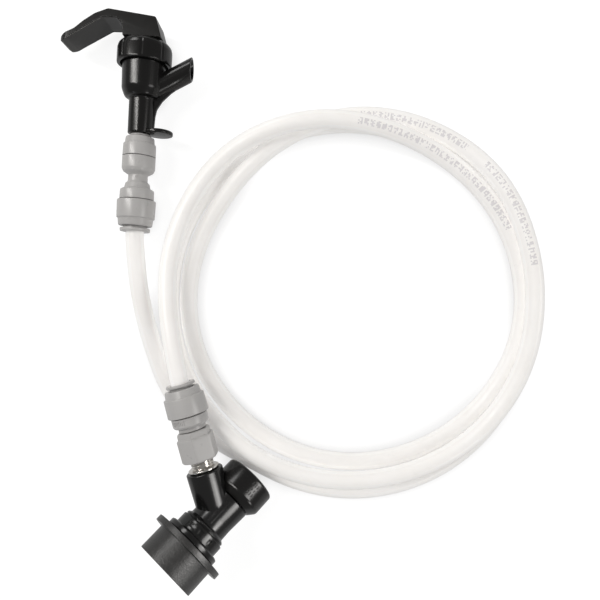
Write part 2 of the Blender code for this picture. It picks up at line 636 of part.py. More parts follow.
def coil_path():
    """The coil's centre line, a cubic that keeps its slope at each station."""
    points = []
    padded = STATIONS[:1] + STATIONS + STATIONS[-1:]
    for before, here, there, after in zip(padded, padded[1:], padded[2:], padded[3:]):
        span = there[0] - here[0]
        pieces = max(2, round(math.radians(span) * here[1] / 3.0))
        for k in range(pieces):
            t = k / pieces
            row = []
            for c in (1, 2):
                start_slope = (there[c] - before[c]) / (there[0] - before[0]) * span
                end_slope = (after[c] - here[c]) / (after[0] - here[0]) * span
                row.append(cubic(here[c], start_slope, there[c], end_slope, t))
            points.append(coil_point(here[0] + span * t, *row))
    points.append(coil_point(*STATIONS[-1]))
    return points


def bridge(start, start_dir, end, end_dir, pieces):
    """Points between start and end on a cubic that leaves and arrives along the directions."""
    reach = (end - start).length
    leave = start_dir.normalized() * reach
    arrive = end_dir.normalized() * reach
    return [cubic(start, leave, end, arrive, k / pieces) for k in range(1, pieces)]


def resample(path, step):
    """Points about every `step` along the path, with both ends kept."""
    lengths = [0.0]
    for here, there in zip(path, path[1:]):
        lengths.append(lengths[-1] + (there - here).length)
    count = max(2, round(lengths[-1] / step))
    made = []
    j = 0
    for i in range(count + 1):
        want = lengths[-1] * i / count
        while j < len(path) - 2 and lengths[j + 1] < want:
            j += 1
        part = (want - lengths[j]) / (lengths[j + 1] - lengths[j])
        made.append(path[j].lerp(path[j + 1], part))
    return made


def line_path():
    """The line's centre line, from inside the reducer round the coil to inside the adapter."""
    tap_end = TAP_ORIGIN + TAP_AXIS * (LARGE_MOUTH + TUBE_INSERTION)
    tap_out = TAP_ORIGIN + TAP_AXIS * (LARGE_MOUTH - LINE_STRAIGHT)
    adapter_out = ARM_ROOT + ARM_AXIS * (ADAPTER_MOUTH + LINE_STRAIGHT)
    adapter_end = ARM_ROOT + ARM_AXIS * (ADAPTER_MOUTH - TUBE_INSERTION)
    coil = coil_path()
    middle = [tap_out]
    middle += bridge(tap_out, -TAP_AXIS, coil[0], coil[1] - coil[0], pieces=7)
    middle += coil
    middle += bridge(coil[-1], coil[-1] - coil[-2], adapter_out, -ARM_AXIS, pieces=8)
    middle += [adapter_out]
    return [tap_end] + resample(middle, LINE_STEP) + [adapter_end]


def sweep_rings(path, radius):
    """Rings square to the path, with no twist."""
    rings = []
    side = Vector((0, 0, 1))
    for i, point in enumerate(path):
        ahead = (path[min(i + 1, len(path) - 1)] - path[max(i - 1, 0)]).normalized()
        side = (side - side.dot(ahead) * ahead).normalized()
        rings.append(circle(point, radius, side, ahead.cross(side), LINE_SIDES, shift=0.5))
    return rings


def build_line():
    path = line_path()
    rings = sweep_rings(path, LINE_RADIUS) + sweep_rings(path, LINE_BORE_RADIUS)[::-1]
    add("beer_line", loft_mesh(rings, closed=True), None, MILKY)


build_tap()
build_reducer()
build_adapter()
build_swivel_nut()
build_flare()
build_lock_balls(build_disconnect_body())
build_cap()
build_poppet()
build_post_seal()
build_collar()
build_line()
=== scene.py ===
"""A drinks tap with a lever, joined by push-in fittings and a coiled milky line to a disconnect.

The whole set lies on a pale floor in world metres, +Z up, with the camera looking straight down.
Pieces are drawn in local millimetres in one of three frames taken from the record's joints:
  TAP   +Z runs along the tap, +X towards the spout, and the paddle reaches to -X
  DISC  +Z runs along the disconnect's shaft from its open end to its cap, the arm leans to +X
  ARM   +Z runs out along the disconnect's side arm, from its root on the shaft
"""
import json
import math

import bmesh
import bpy
from mathutils import Matrix, Vector


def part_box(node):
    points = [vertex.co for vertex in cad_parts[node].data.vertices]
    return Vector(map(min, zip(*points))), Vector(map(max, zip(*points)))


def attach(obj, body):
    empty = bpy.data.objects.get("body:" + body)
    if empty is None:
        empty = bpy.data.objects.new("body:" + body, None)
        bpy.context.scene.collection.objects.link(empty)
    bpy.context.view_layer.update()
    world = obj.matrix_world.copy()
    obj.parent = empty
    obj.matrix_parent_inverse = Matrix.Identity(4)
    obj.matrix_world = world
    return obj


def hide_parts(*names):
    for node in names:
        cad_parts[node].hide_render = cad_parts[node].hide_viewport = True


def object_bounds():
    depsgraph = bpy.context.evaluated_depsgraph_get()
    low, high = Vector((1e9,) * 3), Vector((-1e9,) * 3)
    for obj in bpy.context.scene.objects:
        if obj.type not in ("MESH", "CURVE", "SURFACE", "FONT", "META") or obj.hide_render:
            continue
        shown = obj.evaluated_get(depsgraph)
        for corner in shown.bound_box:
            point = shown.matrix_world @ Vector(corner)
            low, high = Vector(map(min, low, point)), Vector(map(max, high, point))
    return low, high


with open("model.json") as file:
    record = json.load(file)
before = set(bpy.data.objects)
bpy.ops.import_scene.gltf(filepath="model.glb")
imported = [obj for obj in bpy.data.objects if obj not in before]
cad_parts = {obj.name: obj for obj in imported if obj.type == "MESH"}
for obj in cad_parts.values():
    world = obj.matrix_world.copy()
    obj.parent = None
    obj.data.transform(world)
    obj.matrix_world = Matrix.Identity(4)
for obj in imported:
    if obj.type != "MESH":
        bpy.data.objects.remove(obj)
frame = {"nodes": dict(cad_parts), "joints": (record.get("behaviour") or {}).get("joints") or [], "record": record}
cad_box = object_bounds()
MM = 0.001

# Sizes shared by several pieces, in mm
SMALL_TUBE_R = 3.175
LINE_R, LINE_BORE_R = 4.0, 2.0
BORE_R = 2.2  # bore through the fittings
SMALL_MOUTH, LARGE_MOUTH = -1.6, -41.2  # the reducer's two mouths, along TAP
ADAPTER_MOUTH = 57.4  # along ARM
ARM_ROOT_H = 30.4  # where the arm's axis meets the shaft's, along DISC
SWIVEL_TO_ORIGIN = 0.008  # metres from the tap's swivel joint to TAP's origin

# --------------------------------------------------------------------------
# Frames
joints = {joint["name"]: joint for joint in frame["joints"]}


def joint_axis(name):
    return Vector(joints[name]["axis"]).normalized()


def columns(x, y, z, origin, scale=1.0):
    rows = [(x[k] * scale, y[k] * scale, z[k] * scale, origin[k]) for k in range(3)]
    return Matrix(rows + [(0, 0, 0, 1)])


def axes(origin, z_axis, x_axis):
    """A matrix from local millimetres to world metres, with +Z along z_axis."""
    z = Vector(z_axis).normalized()
    x = Vector(x_axis)
    x = (x - x.dot(z) * z).normalized()
    return columns(x, z.cross(x), z, Vector(origin), MM)


def up_angle(matrix):
    """Degrees about a frame's +Z, from its +X, at which world up lies."""
    up = matrix.to_3x3().inverted() @ Vector((0, 0, 1))
    return math.degrees(math.atan2(up.y, up.x))


tap_dir = joint_axis("tap_swivel")
tap_origin = Vector(joints["tap_swivel"]["pos_m"]) + tap_dir * SWIVEL_TO_ORIGIN
TAP = axes(tap_origin, tap_dir, (1, 0, 0))
PIN_H = (Vector(joints["lever_press"]["pos_m"]) - tap_origin).dot(tap_dir) / MM

arm_dir = joint_axis("disconnect_swivel")
disc_dir = joint_axis("collar_slide")
arm_root = Vector(joints["disconnect_swivel"]["pos_m"])
DISC = axes(arm_root - disc_dir * ARM_ROOT_H * MM, disc_dir, arm_dir)
ARM = axes(arm_root, arm_dir, disc_dir)
arm_cos = disc_dir.dot(arm_dir)
arm_sin = math.sqrt(1 - arm_cos * arm_cos)


def arm_point(reach):
    """A point on the arm's axis, in DISC."""
    return Vector((arm_sin * reach, 0, ARM_ROOT_H + arm_cos * reach))


# --------------------------------------------------------------------------
# Mesh tools. Objects sit at the world origin, like the CAD nodes.
def around(seg):
    return [2 * math.pi * k / seg for k in range(seg)]


def polar(radius, angle, z):
    return (radius * math.cos(angle), radius * math.sin(angle), z)


def circle_about(centre, radius, u, v, seg):
    return [centre + radius * (math.cos(a) * u + math.sin(a) * v) for a in around(seg)]


def hermite(start, start_slope, end, end_slope, t):
    return (
        (2 * t**3 - 3 * t**2 + 1) * start + (t**3 - 2 * t**2 + t) * start_slope
        + (-2 * t**3 + 3 * t**2) * end + (t**3 - t**2) * end_slope
    )


def fillet(points, closed=True, arc=4):
    """Rounds an outline of (x, y[, radius]) points, with arc pieces to a quarter turn."""
    made = []
    count = len(points)
    for i, point in enumerate(points):
        radius = point[2] if len(point) > 2 else 0.0
        corner = Vector(point[:2])
        if radius <= 0 or (not closed and i in (0, count - 1)):
            made.append((corner.x, corner.y))
            continue
        back = Vector(points[i - 1][:2]) - corner
        ahead = Vector(points[(i + 1) % count][:2]) - corner
        back_len, ahead_len = back.length, ahead.length
        back, ahead = back / back_len, ahead / ahead_len
        angle = math.acos(max(-1.0, min(1.0, back.dot(ahead))))
        if angle > math.radians(178) or angle < math.radians(2):
            made.append((corner.x, corner.y))
            continue
        # the rounding never takes more than 48% of a side
        cut = min(radius / math.tan(angle / 2), 0.48 * back_len, 0.48 * ahead_len)
        radius = cut * math.tan(angle / 2)
        centre = corner + (back + ahead).normalized() * (radius / math.sin(angle / 2))
        start, end = corner + back * cut - centre, corner + ahead * cut - centre
        sweep = math.pi - angle
        sense = 1 if start.x * end.y - start.y * end.x > 0 else -1
        pieces = max(2, min(14, math.ceil(math.degrees(sweep) / (90 / arc))))
        for k in range(pieces + 1):
            turn = sense * sweep * k / pieces
            made.append(
                (
                    centre.x + start.x * math.cos(turn) - start.y * math.sin(turn),
                    centre.y + start.x * math.sin(turn) + start.y * math.cos(turn),
                )
            )
    return made


def lathe_bm(profile, seg=96, arc=4, rounded=True):
    """A closed (radius, height[, fillet]) outline spun about local +Z."""
    points = fillet(profile, True, arc) if rounded else profile
    bm = bmesh.new()
    rows = []
    for radius, z in points:
        if radius < 1e-5:
            rows.append([bm.verts.new((0, 0, z))])
        else:
            rows.append([bm.verts.new(polar(radius, a, z)) for a in around(seg)])
    for low, high in zip(rows, rows[1:] + rows[:1]):
        if len(low) == 1 and len(high) == 1:
            continue
        for k in range(seg):
            j = (k + 1) % seg
            if len(low) == 1:
                bm.faces.new((low[0], high[j], high[k]))
            elif len(high) == 1:
                bm.faces.new((low[k], low[j], high[0]))
            else:
                bm.faces.new((low[k], low[j], high[j], high[k]))
    return bm


def loft_bm(rings, closed=False):
    """A skin over rings of points, capped at both ends or closed on itself."""
    bm = bmesh.new()
    rows = [[bm.verts.new(p) for p in ring] for ring in rings]
    count = len(rows[0])
    pairs = list(zip(rows, rows[1:]))
    if closed:
        pairs.append((rows[-1], rows[0]))
    for low, high in pairs:
        for k in range(count):
            j = (k + 1) % count
            bm.faces.new((low[k], low[j], high[j], high[k]))
    if not closed:
        bm.faces.new(rows[0][::-1])
        bm.faces.new(rows[-1])
    return bm


def prism_bm(outline, y_low, y_high, bevel=0.0, segments=2, arc=4):
    """An (x, z[, fillet]) outline extruded along local Y, with its rims rounded by bevel."""
    bm = bmesh.new()
    face = bm.faces.new([bm.verts.new((x, y_low, z)) for x, z in fillet(outline, True, arc)])
    made = bmesh.ops.extrude_face_region(bm, geom=[face])
    for v in made["geom"]:
        if isinstance(v, bmesh.types.BMVert):
            v.co.y = y_high
    bmesh.ops.recalc_face_normals(bm, faces=bm.faces)
    if bevel > 0:
        rim = [
            e for e in bm.edges
            if abs(e.verts[0].co.y - e.verts[1].co.y) < 1e-6 and len(e.link_faces) == 2
        ]
        bmesh.ops.bevel(
            bm, geom=rim, offset=bevel, segments=segments, affect="EDGES", profile=0.5,
            clamp_overlap=True,
        )
    return bm


def radial_block(half_width, heights, radii, angle, bevel=0.0):
    """A block lying across the radius at angle degrees about local +Z."""
    low, high = heights
    outline = [(-half_width, low), (half_width, low), (half_width, high), (-half_width, high)]
    bm = prism_bm(outline, *radii, bevel)
    # the block is drawn on +Y, which is already at 90 degrees
    bm.transform(Matrix.Rotation(math.radians(angle - 90), 4, "Z"))
    return bm


def rod_bm(start, end, radius, seg, rounding=0.0):
    """A round bar from start to end."""
    start, end = Vector(start), Vector(end)
    length = (end - start).length
    bm = lathe_bm([(0, 0), (radius, 0, rounding), (radius, length, rounding), (0, length)], seg)
    z = (end - start).normalized()
    x = z.orthogonal().normalized()
    bm.transform(columns(x, z.cross(x), z, start))
    return bm


def face_outwards(bm):
    bmesh.ops.recalc_face_normals(bm, faces=bm.faces)
    if bm.calc_volume(signed=True) < 0:
        bmesh.ops.reverse_faces(bm, faces=bm.faces)


def link_object(name, bm):
    mesh = bpy.data.meshes.new(name)
    bm.to_mesh(mesh)
    bm.free()
    obj = bpy.data.objects.new(name, mesh)
    bpy.context.scene.collection.objects.link(obj)
    return obj


def to_object(name, bm, matrix):
    bmesh.ops.remove_doubles(bm, verts=bm.verts, dist=1e-5)
    face_outwards(bm)
    bm.transform(matrix)
    return link_object(name, bm)


def clean(mesh):
    """Merges what the Booleans leave too close, and closes slivers so every skin stays whole."""
    bm = bmesh.new()
    bm.from_mesh(mesh)
    bmesh.ops.remove_doubles(bm, verts=bm.verts, dist=2e-6)
    bmesh.ops.dissolve_degenerate(bm, edges=bm.edges, dist=2e-6)
    bare = [e for e in bm.edges if not e.link_faces]
    if bare:
        bmesh.ops.delete(bm, geom=bare, context="EDGES")
    rims = [e for e in bm.edges if len(e.link_faces) == 1]
    if rims:
        bmesh.ops.holes_fill(bm, edges=rims, sides=0)
    bmesh.ops.recalc_face_normals(bm, faces=bm.faces)
    bm.to_mesh(mesh)
    bm.free()


def combine(name, matrix, base, intersect=(), unite=(), cut=()):
    """base with its Booleans, in that order, worked at 0.1 units to the mm to suit the solver."""
    grow = Matrix.Scale(0.1, 4)
    obj = to_object(name, base, grow)
    steps = [("INTERSECT", bm) for bm in intersect]
    steps += [("UNION", bm) for bm in unite]
    steps += [("DIFFERENCE", bm) for bm in cut]
    helpers = []
    for k, (operation, bm) in enumerate(steps):
        helper = to_object("%s_tool_%d" % (name, k), bm, grow)
        mod = obj.modifiers.new("b%d" % k, "BOOLEAN")
        mod.operation = operation
        mod.solver = "EXACT"
        mod.object = helper
        helpers.append(helper)
    bpy.context.view_layer.update()
    graph = bpy.context.evaluated_depsgraph_get()
    mesh = bpy.data.meshes.new_from_object(obj.evaluated_get(graph), depsgraph=graph)
    obj.modifiers.clear()
    obj.data = mesh
    for helper in helpers:
        bpy.data.objects.remove(helper, do_unlink=True)
    mesh.transform(matrix @ Matrix.Scale(10.0, 4))
    clean(mesh)
    return obj


def piece(obj, body, node, mat, angle=32):
    """Shades, paints and fastens a finished piece; edges over angle degrees stay sharp."""
    obj.data.shade_smooth()
    obj.data.set_sharp_from_angle(angle=math.radians(angle))
    obj.data.materials.clear()
    obj.data.materials.append(mat)
    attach(obj, body)
    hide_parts(node)


# --------------------------------------------------------------------------
# Materials
class Graph:
    """Adds and links nodes in one tree; inputs take either values or output sockets."""

    def __init__(self, tree):
        self.tree = tree

    def fill(self, node, inputs):
        for key, value in inputs.items():
            if isinstance(value, bpy.types.NodeSocket):
                self.tree.links.new(value, node.inputs[key])
            else:
                node.inputs[key].default_value = value

    def add(self, kind, inputs, **settings):
        node = self.tree.nodes.new(kind)
        for key, value in settings.items():
            setattr(node, key, value)
        self.fill(node, inputs)
        return node

    def coords(self):
        return self.add("ShaderNodeTexCoord", {}).outputs["Object"]

    def camera_ray(self):
        return self.add("ShaderNodeLightPath", {}).outputs["Is Camera Ray"]

    def noise(self, coords, scale, detail, rough):
        inputs = {"Scale": scale, "Detail": detail, "Roughness": rough, "Vector": coords}
        return self.add("ShaderNodeTexNoise", inputs).outputs["Fac"]

    def ramp(self, value, stops):
        """A colour ramp through (position, colour) stops."""
        node = self.add("ShaderNodeValToRGB", {"Fac": value})
        elements = node.color_ramp.elements
        for element, (at, colour) in zip(elements, (stops[0], stops[-1])):
            element.position = at
            element.color = (*colour, 1)
        for at, colour in stops[1:-1]:
            elements.new(at).color = (*colour, 1)
        return node.outputs["Color"]

    def remap(self, value, source, target):
        inputs = {"From Min": source[0], "From Max": source[1]}
        inputs.update({"To Min": target[0], "To Max": target[1], "Value": value})
        return self.add("ShaderNodeMapRange", inputs).outputs["Result"]

    def mix(self, first, second, factor=1.0, blend="MIX", kind="RGBA"):
        inputs = {"Factor": factor, "A": first, "B": second}
        node = self.add("ShaderNodeMix", inputs, data_type=kind, blend_type=blend)
        return node.outputs["Result"]

    def bump(self, height, strength, distance, **normal):
        inputs = {"Strength": strength, "Distance": distance, "Height": height, **normal}
        return self.add("ShaderNodeBump", inputs).outputs["Normal"]

    def calc(self, operation, *values):
        return self.add("ShaderNodeMath", dict(enumerate(values)), operation=operation).outputs[0]

    def join(self, **parts):
        return self.add("ShaderNodeCombineXYZ", parts).outputs["Vector"]


def new_material(name):
    mat = bpy.data.materials.new(name)
    mat.use_nodes = True
    return mat, Graph(mat.node_tree), mat.node_tree.nodes["Principled BSDF"]


def moulded(
    name, *, colour, rough, spread, grain, mottle=0.06, grain_scale=2600.0, bevel=0.0, speck=0.0,
    coat=0.0, specular=0.5,
):
    """Moulded plastic: colour varied by mottle, rough by spread, grain as bump, pale specks
    where asked, and edges that look rounded by bevel mm."""
    mat, graph, shader = new_material(name)
    coords = graph.coords()
    wide = graph.noise(coords, scale=90.0, detail=4.0, rough=0.6)
    dark = tuple(c * (1 - mottle) for c in colour)
    light = tuple(min(1.0, c * (1 + mottle)) for c in colour)
    base = graph.ramp(wide, [(0.3, dark), (0.7, light)])
    if speck > 0:
        fine = graph.noise(coords, scale=1500.0, detail=2.0, rough=0.6)
        dots = graph.ramp(fine, [(0.5, (0, 0, 0)), (0.72, (1, 1, 1))])
        faint = graph.mix(dots, (speck, speck, speck, 1), blend="MULTIPLY")
        base = graph.mix(base, faint, blend="ADD")
    gloss = graph.noise(coords, scale=260.0, detail=5.0, rough=0.62)
    small = graph.noise(coords, scale=grain_scale, detail=2.0, rough=0.5)
    normal = {}
    if bevel > 0:
        edge = graph.add("ShaderNodeBevel", {"Radius": bevel * MM}, samples=6)
        normal["Normal"] = edge.outputs["Normal"]
    graph.fill(shader, {
        "Base Color": base,
        "Roughness": graph.remap(gloss, source=(0.25, 0.75), target=(rough - spread, rough + spread)),
        "Normal": graph.bump(small, strength=grain, distance=0.0002, **normal),
        "Specular IOR Level": specular,
    })
    if coat > 0:
        graph.fill(shader, {"Coat Weight": coat, "Coat Roughness": 0.08})
    return mat


BLACK = moulded(
    "black_gloss_plastic", colour=(0.0055, 0.0053, 0.0051), rough=0.215, spread=0.02, grain=0.003,
    bevel=0.3, specular=0.34,
)
BLACK_SOFT = moulded(
    "black_satin_lever", colour=(0.0068, 0.0066, 0.0063), rough=0.31, spread=0.03, grain=0.03,
    bevel=0.1, specular=0.3,
)
BLACK_WET = moulded(
    "black_polished_plastic", colour=(0.0045, 0.0045, 0.0045), rough=0.21, spread=0.02,
    grain=0.006, bevel=0.25, coat=0.08, specular=0.42,
)
CHARCOAL = moulded(
    "charcoal_grained_plastic", colour=(0.0090, 0.0087, 0.0082), rough=0.37, spread=0.05,
    grain=0.5, mottle=0.2, grain_scale=1500.0, speck=0.009, specular=0.75,
)
GREY = moulded(
    "grey_fitting_plastic", colour=(0.445, 0.438, 0.433), rough=0.29, spread=0.03, grain=0.03,
    bevel=0.12, mottle=0.015, grain_scale=1800.0,
)
SEAL = moulded(
    "black_rubber_seal", colour=(0.018, 0.018, 0.018), rough=0.62, spread=0.08, grain=0.3,
    mottle=0.12, grain_scale=1400.0,
)
SILICONE = moulded(
    "pale_silicone", colour=(0.74, 0.73, 0.69), rough=0.45, spread=0.06, grain=0.08, mottle=0.04,
)


def turned_steel(name, matrix):
    """Stainless steel with fine turning rings square to its frame's axis."""
    mat, graph, shader = new_material(name)
    coords = graph.coords()
    axis = Vector((matrix[0][2], matrix[1][2], matrix[2][2])).normalized()
    dot = graph.add("ShaderNodeVectorMath", {0: coords, 1: axis}, operation="DOT_PRODUCT")
    along = graph.join(Z=dot.outputs["Value"])
    rings = graph.noise(along, scale=5200.0, detail=3.0, rough=0.6)
    wide = graph.noise(coords, scale=240.0, detail=4.0, rough=0.6)
    graph.fill(shader, {
        "Base Color": graph.ramp(wide, [(0.3, (0.62, 0.60, 0.57)), (0.7, (0.78, 0.76, 0.73))]),
        "Metallic": 1.0,
        "Roughness": graph.remap(wide, source=(0.25, 0.75), target=(0.09, 0.21)),
        "Normal": graph.bump(rings, strength=0.12, distance=0.00012),
    })
    return mat


STEEL_ARM = turned_steel("turned_stainless_arm", ARM)
STEEL_DISC = turned_steel("turned_stainless_disconnect", DISC)
STEEL_TAP = turned_steel("turned_stainless_tap", TAP)

# --------------------------------------------------------------------------
# Tap body. Outlines to spin are (radius, height[, fillet]), to extrude (x, z[, fillet]).
TAP_OUTER = [
    (0, -15.3), (SMALL_TUBE_R, -15.3, 0.5), (SMALL_TUBE_R, 0.0, 0.1), (5.6, 0.0, 0.5),
    (5.75, 15.6, 1.0), (7.7, 16.0, 2.2), (9.25, 19.6, 3.4), (9.6, 31.3, 0.3),
    (10.1, 31.7, 0.3), (10.1, 37.2, 0.2), (0, 37.2),
]
TAP_BORE = [
    (0, -17), (2.1, -17), (2.1, 21.3), (3.3, 21.3), (3.3, 20.5), (7.0, 20.5), (7.0, 38.5), (0, 38.5),
]
WEB = [
    (3.0, 2.4), (5.9, 2.4), (6.15, 8.0), (6.7, 11.3, 4.0), (8.9, 15.1, 6.0), (12.6, 19.0, 3.0),
    (14.4, 20.4), (8.0, 21.5), (3.0, 16.0),
]
LUG = [
    (0, 0.05), (6.3, 0.05, 0.45), (6.3, 1.75, 0.45), (5.2, 1.75, 0.2), (4.6, 1.5, 0.2), (0, 1.45),
]
LUG_X = 8.1
SPOUT_RISE = math.radians(31.0)
SPOUT_DIR = Vector((math.cos(SPOUT_RISE), 0, math.sin(SPOUT_RISE)))
SPOUT_BASE = Vector((0, 0, 17.4))
LIP_LENGTH = 0.3


def spout_ring(radius, start, mouth, share):
    """A ring at a share of the way from start to the mouth's plane at x = mouth."""
    side = Vector((-SPOUT_DIR[2], 0, SPOUT_DIR[0]))
    ring = []
    for p in circle_about(SPOUT_BASE, radius, side, Vector((0, 1, 0)), 72):
        full = (mouth - p[0]) / SPOUT_DIR[0]
        ring.append(p + (start + (full - start) * share) * SPOUT_DIR)
    return ring


def spout_bm(radius, start, mouth, lip=0.0):
    """A round tube along the spout, cut parallel to the tap's axis and narrowed by lip."""
    rings = [spout_ring(radius, start, mouth, share) for share in (0.0, 0.5)]
    if lip > 0:
        rings.append(spout_ring(radius, start, mouth - LIP_LENGTH, 1.0))
    rings.append(spout_ring(radius - lip, start, mouth, 1.0))
    return loft_bm(rings)


lug = lathe_bm(LUG, 72)
bmesh.ops.translate(lug, verts=lug.verts, vec=(LUG_X, 0, 0))
tap_body = combine(
    "tap_body_moulding", TAP, lathe_bm(TAP_OUTER, 112, 6),
    unite=[spout_bm(4.7, 3.0, 21.4, lip=0.22), prism_bm(WEB, -1.0, 1.0, 0.35, arc=6), lug],
    cut=[lathe_bm(TAP_BORE, 64, rounded=False), spout_bm(3.9, 7.0, 23.4)],
)
piece(tap_body, "tap", "tap_body", BLACK, 30)

# Bonnet: a ring with narrow upright grooves, domed at its top
BONNET_OUTER = [
    (10.55, 30.7, 0.2), (11.95, 30.7, 0.5), (12.03, 31.6, 0.6), (12.03, 37.3, 1.4),
    (11.6, 38.9, 1.4), (10.5, 40.1, 1.0), (9.6, 40.6, 0.4),
]
BONNET_INNER = [(2.1, 40.6), (2.1, 38.9), (10.5, 38.9)]
GROOVE_PITCH, GROOVE_START = 45, 8.0  # degrees
GROOVE_DEPTH, GROOVE_SPREAD = 0.34, 1.9  # mm, degrees
# beside each groove the land dips a hair: depth in mm, centre and half width in degrees
DIP_DEPTH, DIP_AT, DIP_HALF = 0.10, 5.0, 5.0


def bonnet_depth(angle):
    half = GROOVE_PITCH / 2
    off = (math.degrees(angle) - GROOVE_START + half) % GROOVE_PITCH - half
    depth = GROOVE_DEPTH * math.exp(-((off / GROOVE_SPREAD) ** 2))
    return depth + DIP_DEPTH * max(0.0, 1 - abs(off - DIP_AT) / DIP_HALF)


def bonnet_bm():
    rings = []
    for radius, z in fillet(BONNET_OUTER, False, 6) + BONNET_INNER:
        grooved = radius > 11.0 and 31.2 < z < 39.3
        rings.append(
            [polar(radius - (bonnet_depth(a) if grooved else 0.0), a, z) for a in around(192)]
        )
    return loft_bm(rings, True)


bonnet = to_object("tap_bonnet_ring", bonnet_bm(), TAP)
piece(bonnet, "tap", "tap_bonnet", BLACK, 35)

# --------------------------------------------------------------------------
# Lever: paddle and hub in one outline, with an oval foot over the bonnet
LEVER_SIDE = [
    (8.6, 41.0, 0.5), (5.8, 49.9, 1.0), (-15.2, 52.3, 2.4), (-20.9, 49.9, 6.0),
    (-25.6, 46.5, 8.0), (-29.6, 42.9, 7.0), (-33.2, 41.0, 3.0), (-36.2, 39.4, 1.3),
    (-36.4, 38.1, 0.8), (-34.9, 37.4, 0.6), (-32.2, 38.6, 2.0), (-24.4, 43.8, 6.0),
    (-17.2, 48.3, 2.2), (-11.2, 48.5, 2.2), (-8.9, 46.4, 1.4), (-8.3, 41.0, 0.4),
]
# the lever seen along the tap's axis, as (x, y[, fillet])
LEVER_PLAN = [
    (12, -9.5), (12, 9.5), (-12, 7.9, 4.0), (-36.6, 7.75, 5.2), (-36.6, -7.75, 5.2), (-12, -7.9, 4.0),
]
LEVER_FOOT = [(0, 40.9), (8.2, 40.9, 0.4), (8.0, 42.8, 1.2), (6.6, 43.6, 0.6), (0, 43.6)]
FOOT_SQUASH = 0.9  # the foot's width along Y against X
LEVER_SLOT = [(-5.0, 40.0), (5.5, 40.0), (4.6, 48.2, 0.6), (-5.0, 48.2, 0.6)]
BEAD_WAY = [(-30.4, 39.8), (-24.4, 43.8, 6.0), (-17.2, 48.3, 2.2), (-11.2, 48.5, 2.0), (-9.7, 47.1)]
BEAD_R, BEAD_END_R = 0.40, 0.2
BEAD_INSET, BEAD_Y = 0.27, 7.52


def bead_bm(side):
    """A fine bead along the paddle's lower rim, on +Y or -Y as side says."""
    way = [Vector(p) for p in fillet(BEAD_WAY, False, 8)]
    last = len(way) - 1
    rings = []
    for k, p in enumerate(way):
        along = (way[min(k + 1, last)] - way[max(k - 1, 0)]).normalized()
        inward = Vector((-along[1], along[0]))
        radius = BEAD_R if 0 < k < last else BEAD_END_R
        ring = []
        for a in around(32):
            q = p + inward * (BEAD_INSET + radius * math.cos(a))
            ring.append((q[0], side * (BEAD_Y + radius * math.sin(a)), q[1]))
        rings.append(ring)
    return loft_bm(rings)


plan = prism_bm(LEVER_PLAN, -20, 20, arc=8)
plan.transform(Matrix.Translation((0, 0, 44)) @ Matrix.Rotation(math.radians(90), 4, "X"))
foot = lathe_bm(LEVER_FOOT, 72)
for v in foot.verts:
    v.co.y *= FOOT_SQUASH
lever = combine(
    "tap_lever_moulding", TAP, prism_bm(LEVER_SIDE, -7.8, 7.8, 0.55, 8, 8),
    intersect=[plan],
    unite=[bead_bm(-1), bead_bm(1), foot],
    cut=[
        prism_bm(LEVER_SLOT, -2.9, 2.9),
        rod_bm((0, -5.5, PIN_H), (0, 5.5, PIN_H), 1.6, 40),
    ],
)
piece(lever, "lever", "tap_lever", BLACK_SOFT, 15)

pin = rod_bm((0, -5.2, PIN_H), (0, 5.2, PIN_H), 1.25, 40, 0.25)
piece(to_object("lever_pin_turned", pin, TAP), "stem", "lever_pin", STEEL_TAP)


# --------------------------------------------------------------------------
# Push-in sockets: a gland with its turned steps, and a collet with a flange
def push_in(
    name, matrix, body, release, *, mouth, inward, tube_r, steps, gland_end, flange_r, flange_t,
    travel,
):
    """Depths run from the mouth, inward (+1 or -1) along the frame's Z.
    The collet's flange, flange_t thick, stands out from the mouth by travel."""

    def turned(part, rows, seg, rider):
        profile = [(row[0], mouth + inward * row[1], *row[2:]) for row in rows]
        obj = to_object("%s_%s_turned" % (name, part), lathe_bm(profile, seg, 5), matrix)
        piece(obj, rider, "%s_%s" % (name, part), GREY)

    throat, cavity = tube_r + 1.45, tube_r + 2.4
    gland = [(throat, 0, 0.25)] + steps
    gland += [(cavity, gland_end), (cavity, 3.4), (throat, 3.0)]
    turned("gland", gland, 96, body)

    inner, sleeve, tip = tube_r + 0.33, tube_r + 1.15, tube_r + 2.0
    collet = [
        (inner, -travel - flange_t, 0.15), (flange_r - 0.1, -travel - flange_t, 0.35),
        (flange_r, -travel, 0.3), (sleeve, -travel, 0.15), (sleeve, 3.6), (tip, 4.2),
        (tip - 0.3, 5.3), (inner, 5.3), (inner, 4.95), (inner + 0.9, 4.95),
        (inner + 0.9, 3.95), (inner, 3.95),
    ]
    turned("collet", collet, 80, release)


def socket_inside(mouth, inward, tube_r):
    lip, cavity, seat = tube_r + 2.1, tube_r + 1.55, tube_r + 0.33
    rows = [(lip, 6.3), (cavity, 6.3), (cavity, 9.9), (seat, 9.9), (seat, 14.0), (BORE_R, 14.0)]
    return [(radius, mouth + inward * depth) for radius, depth in rows]


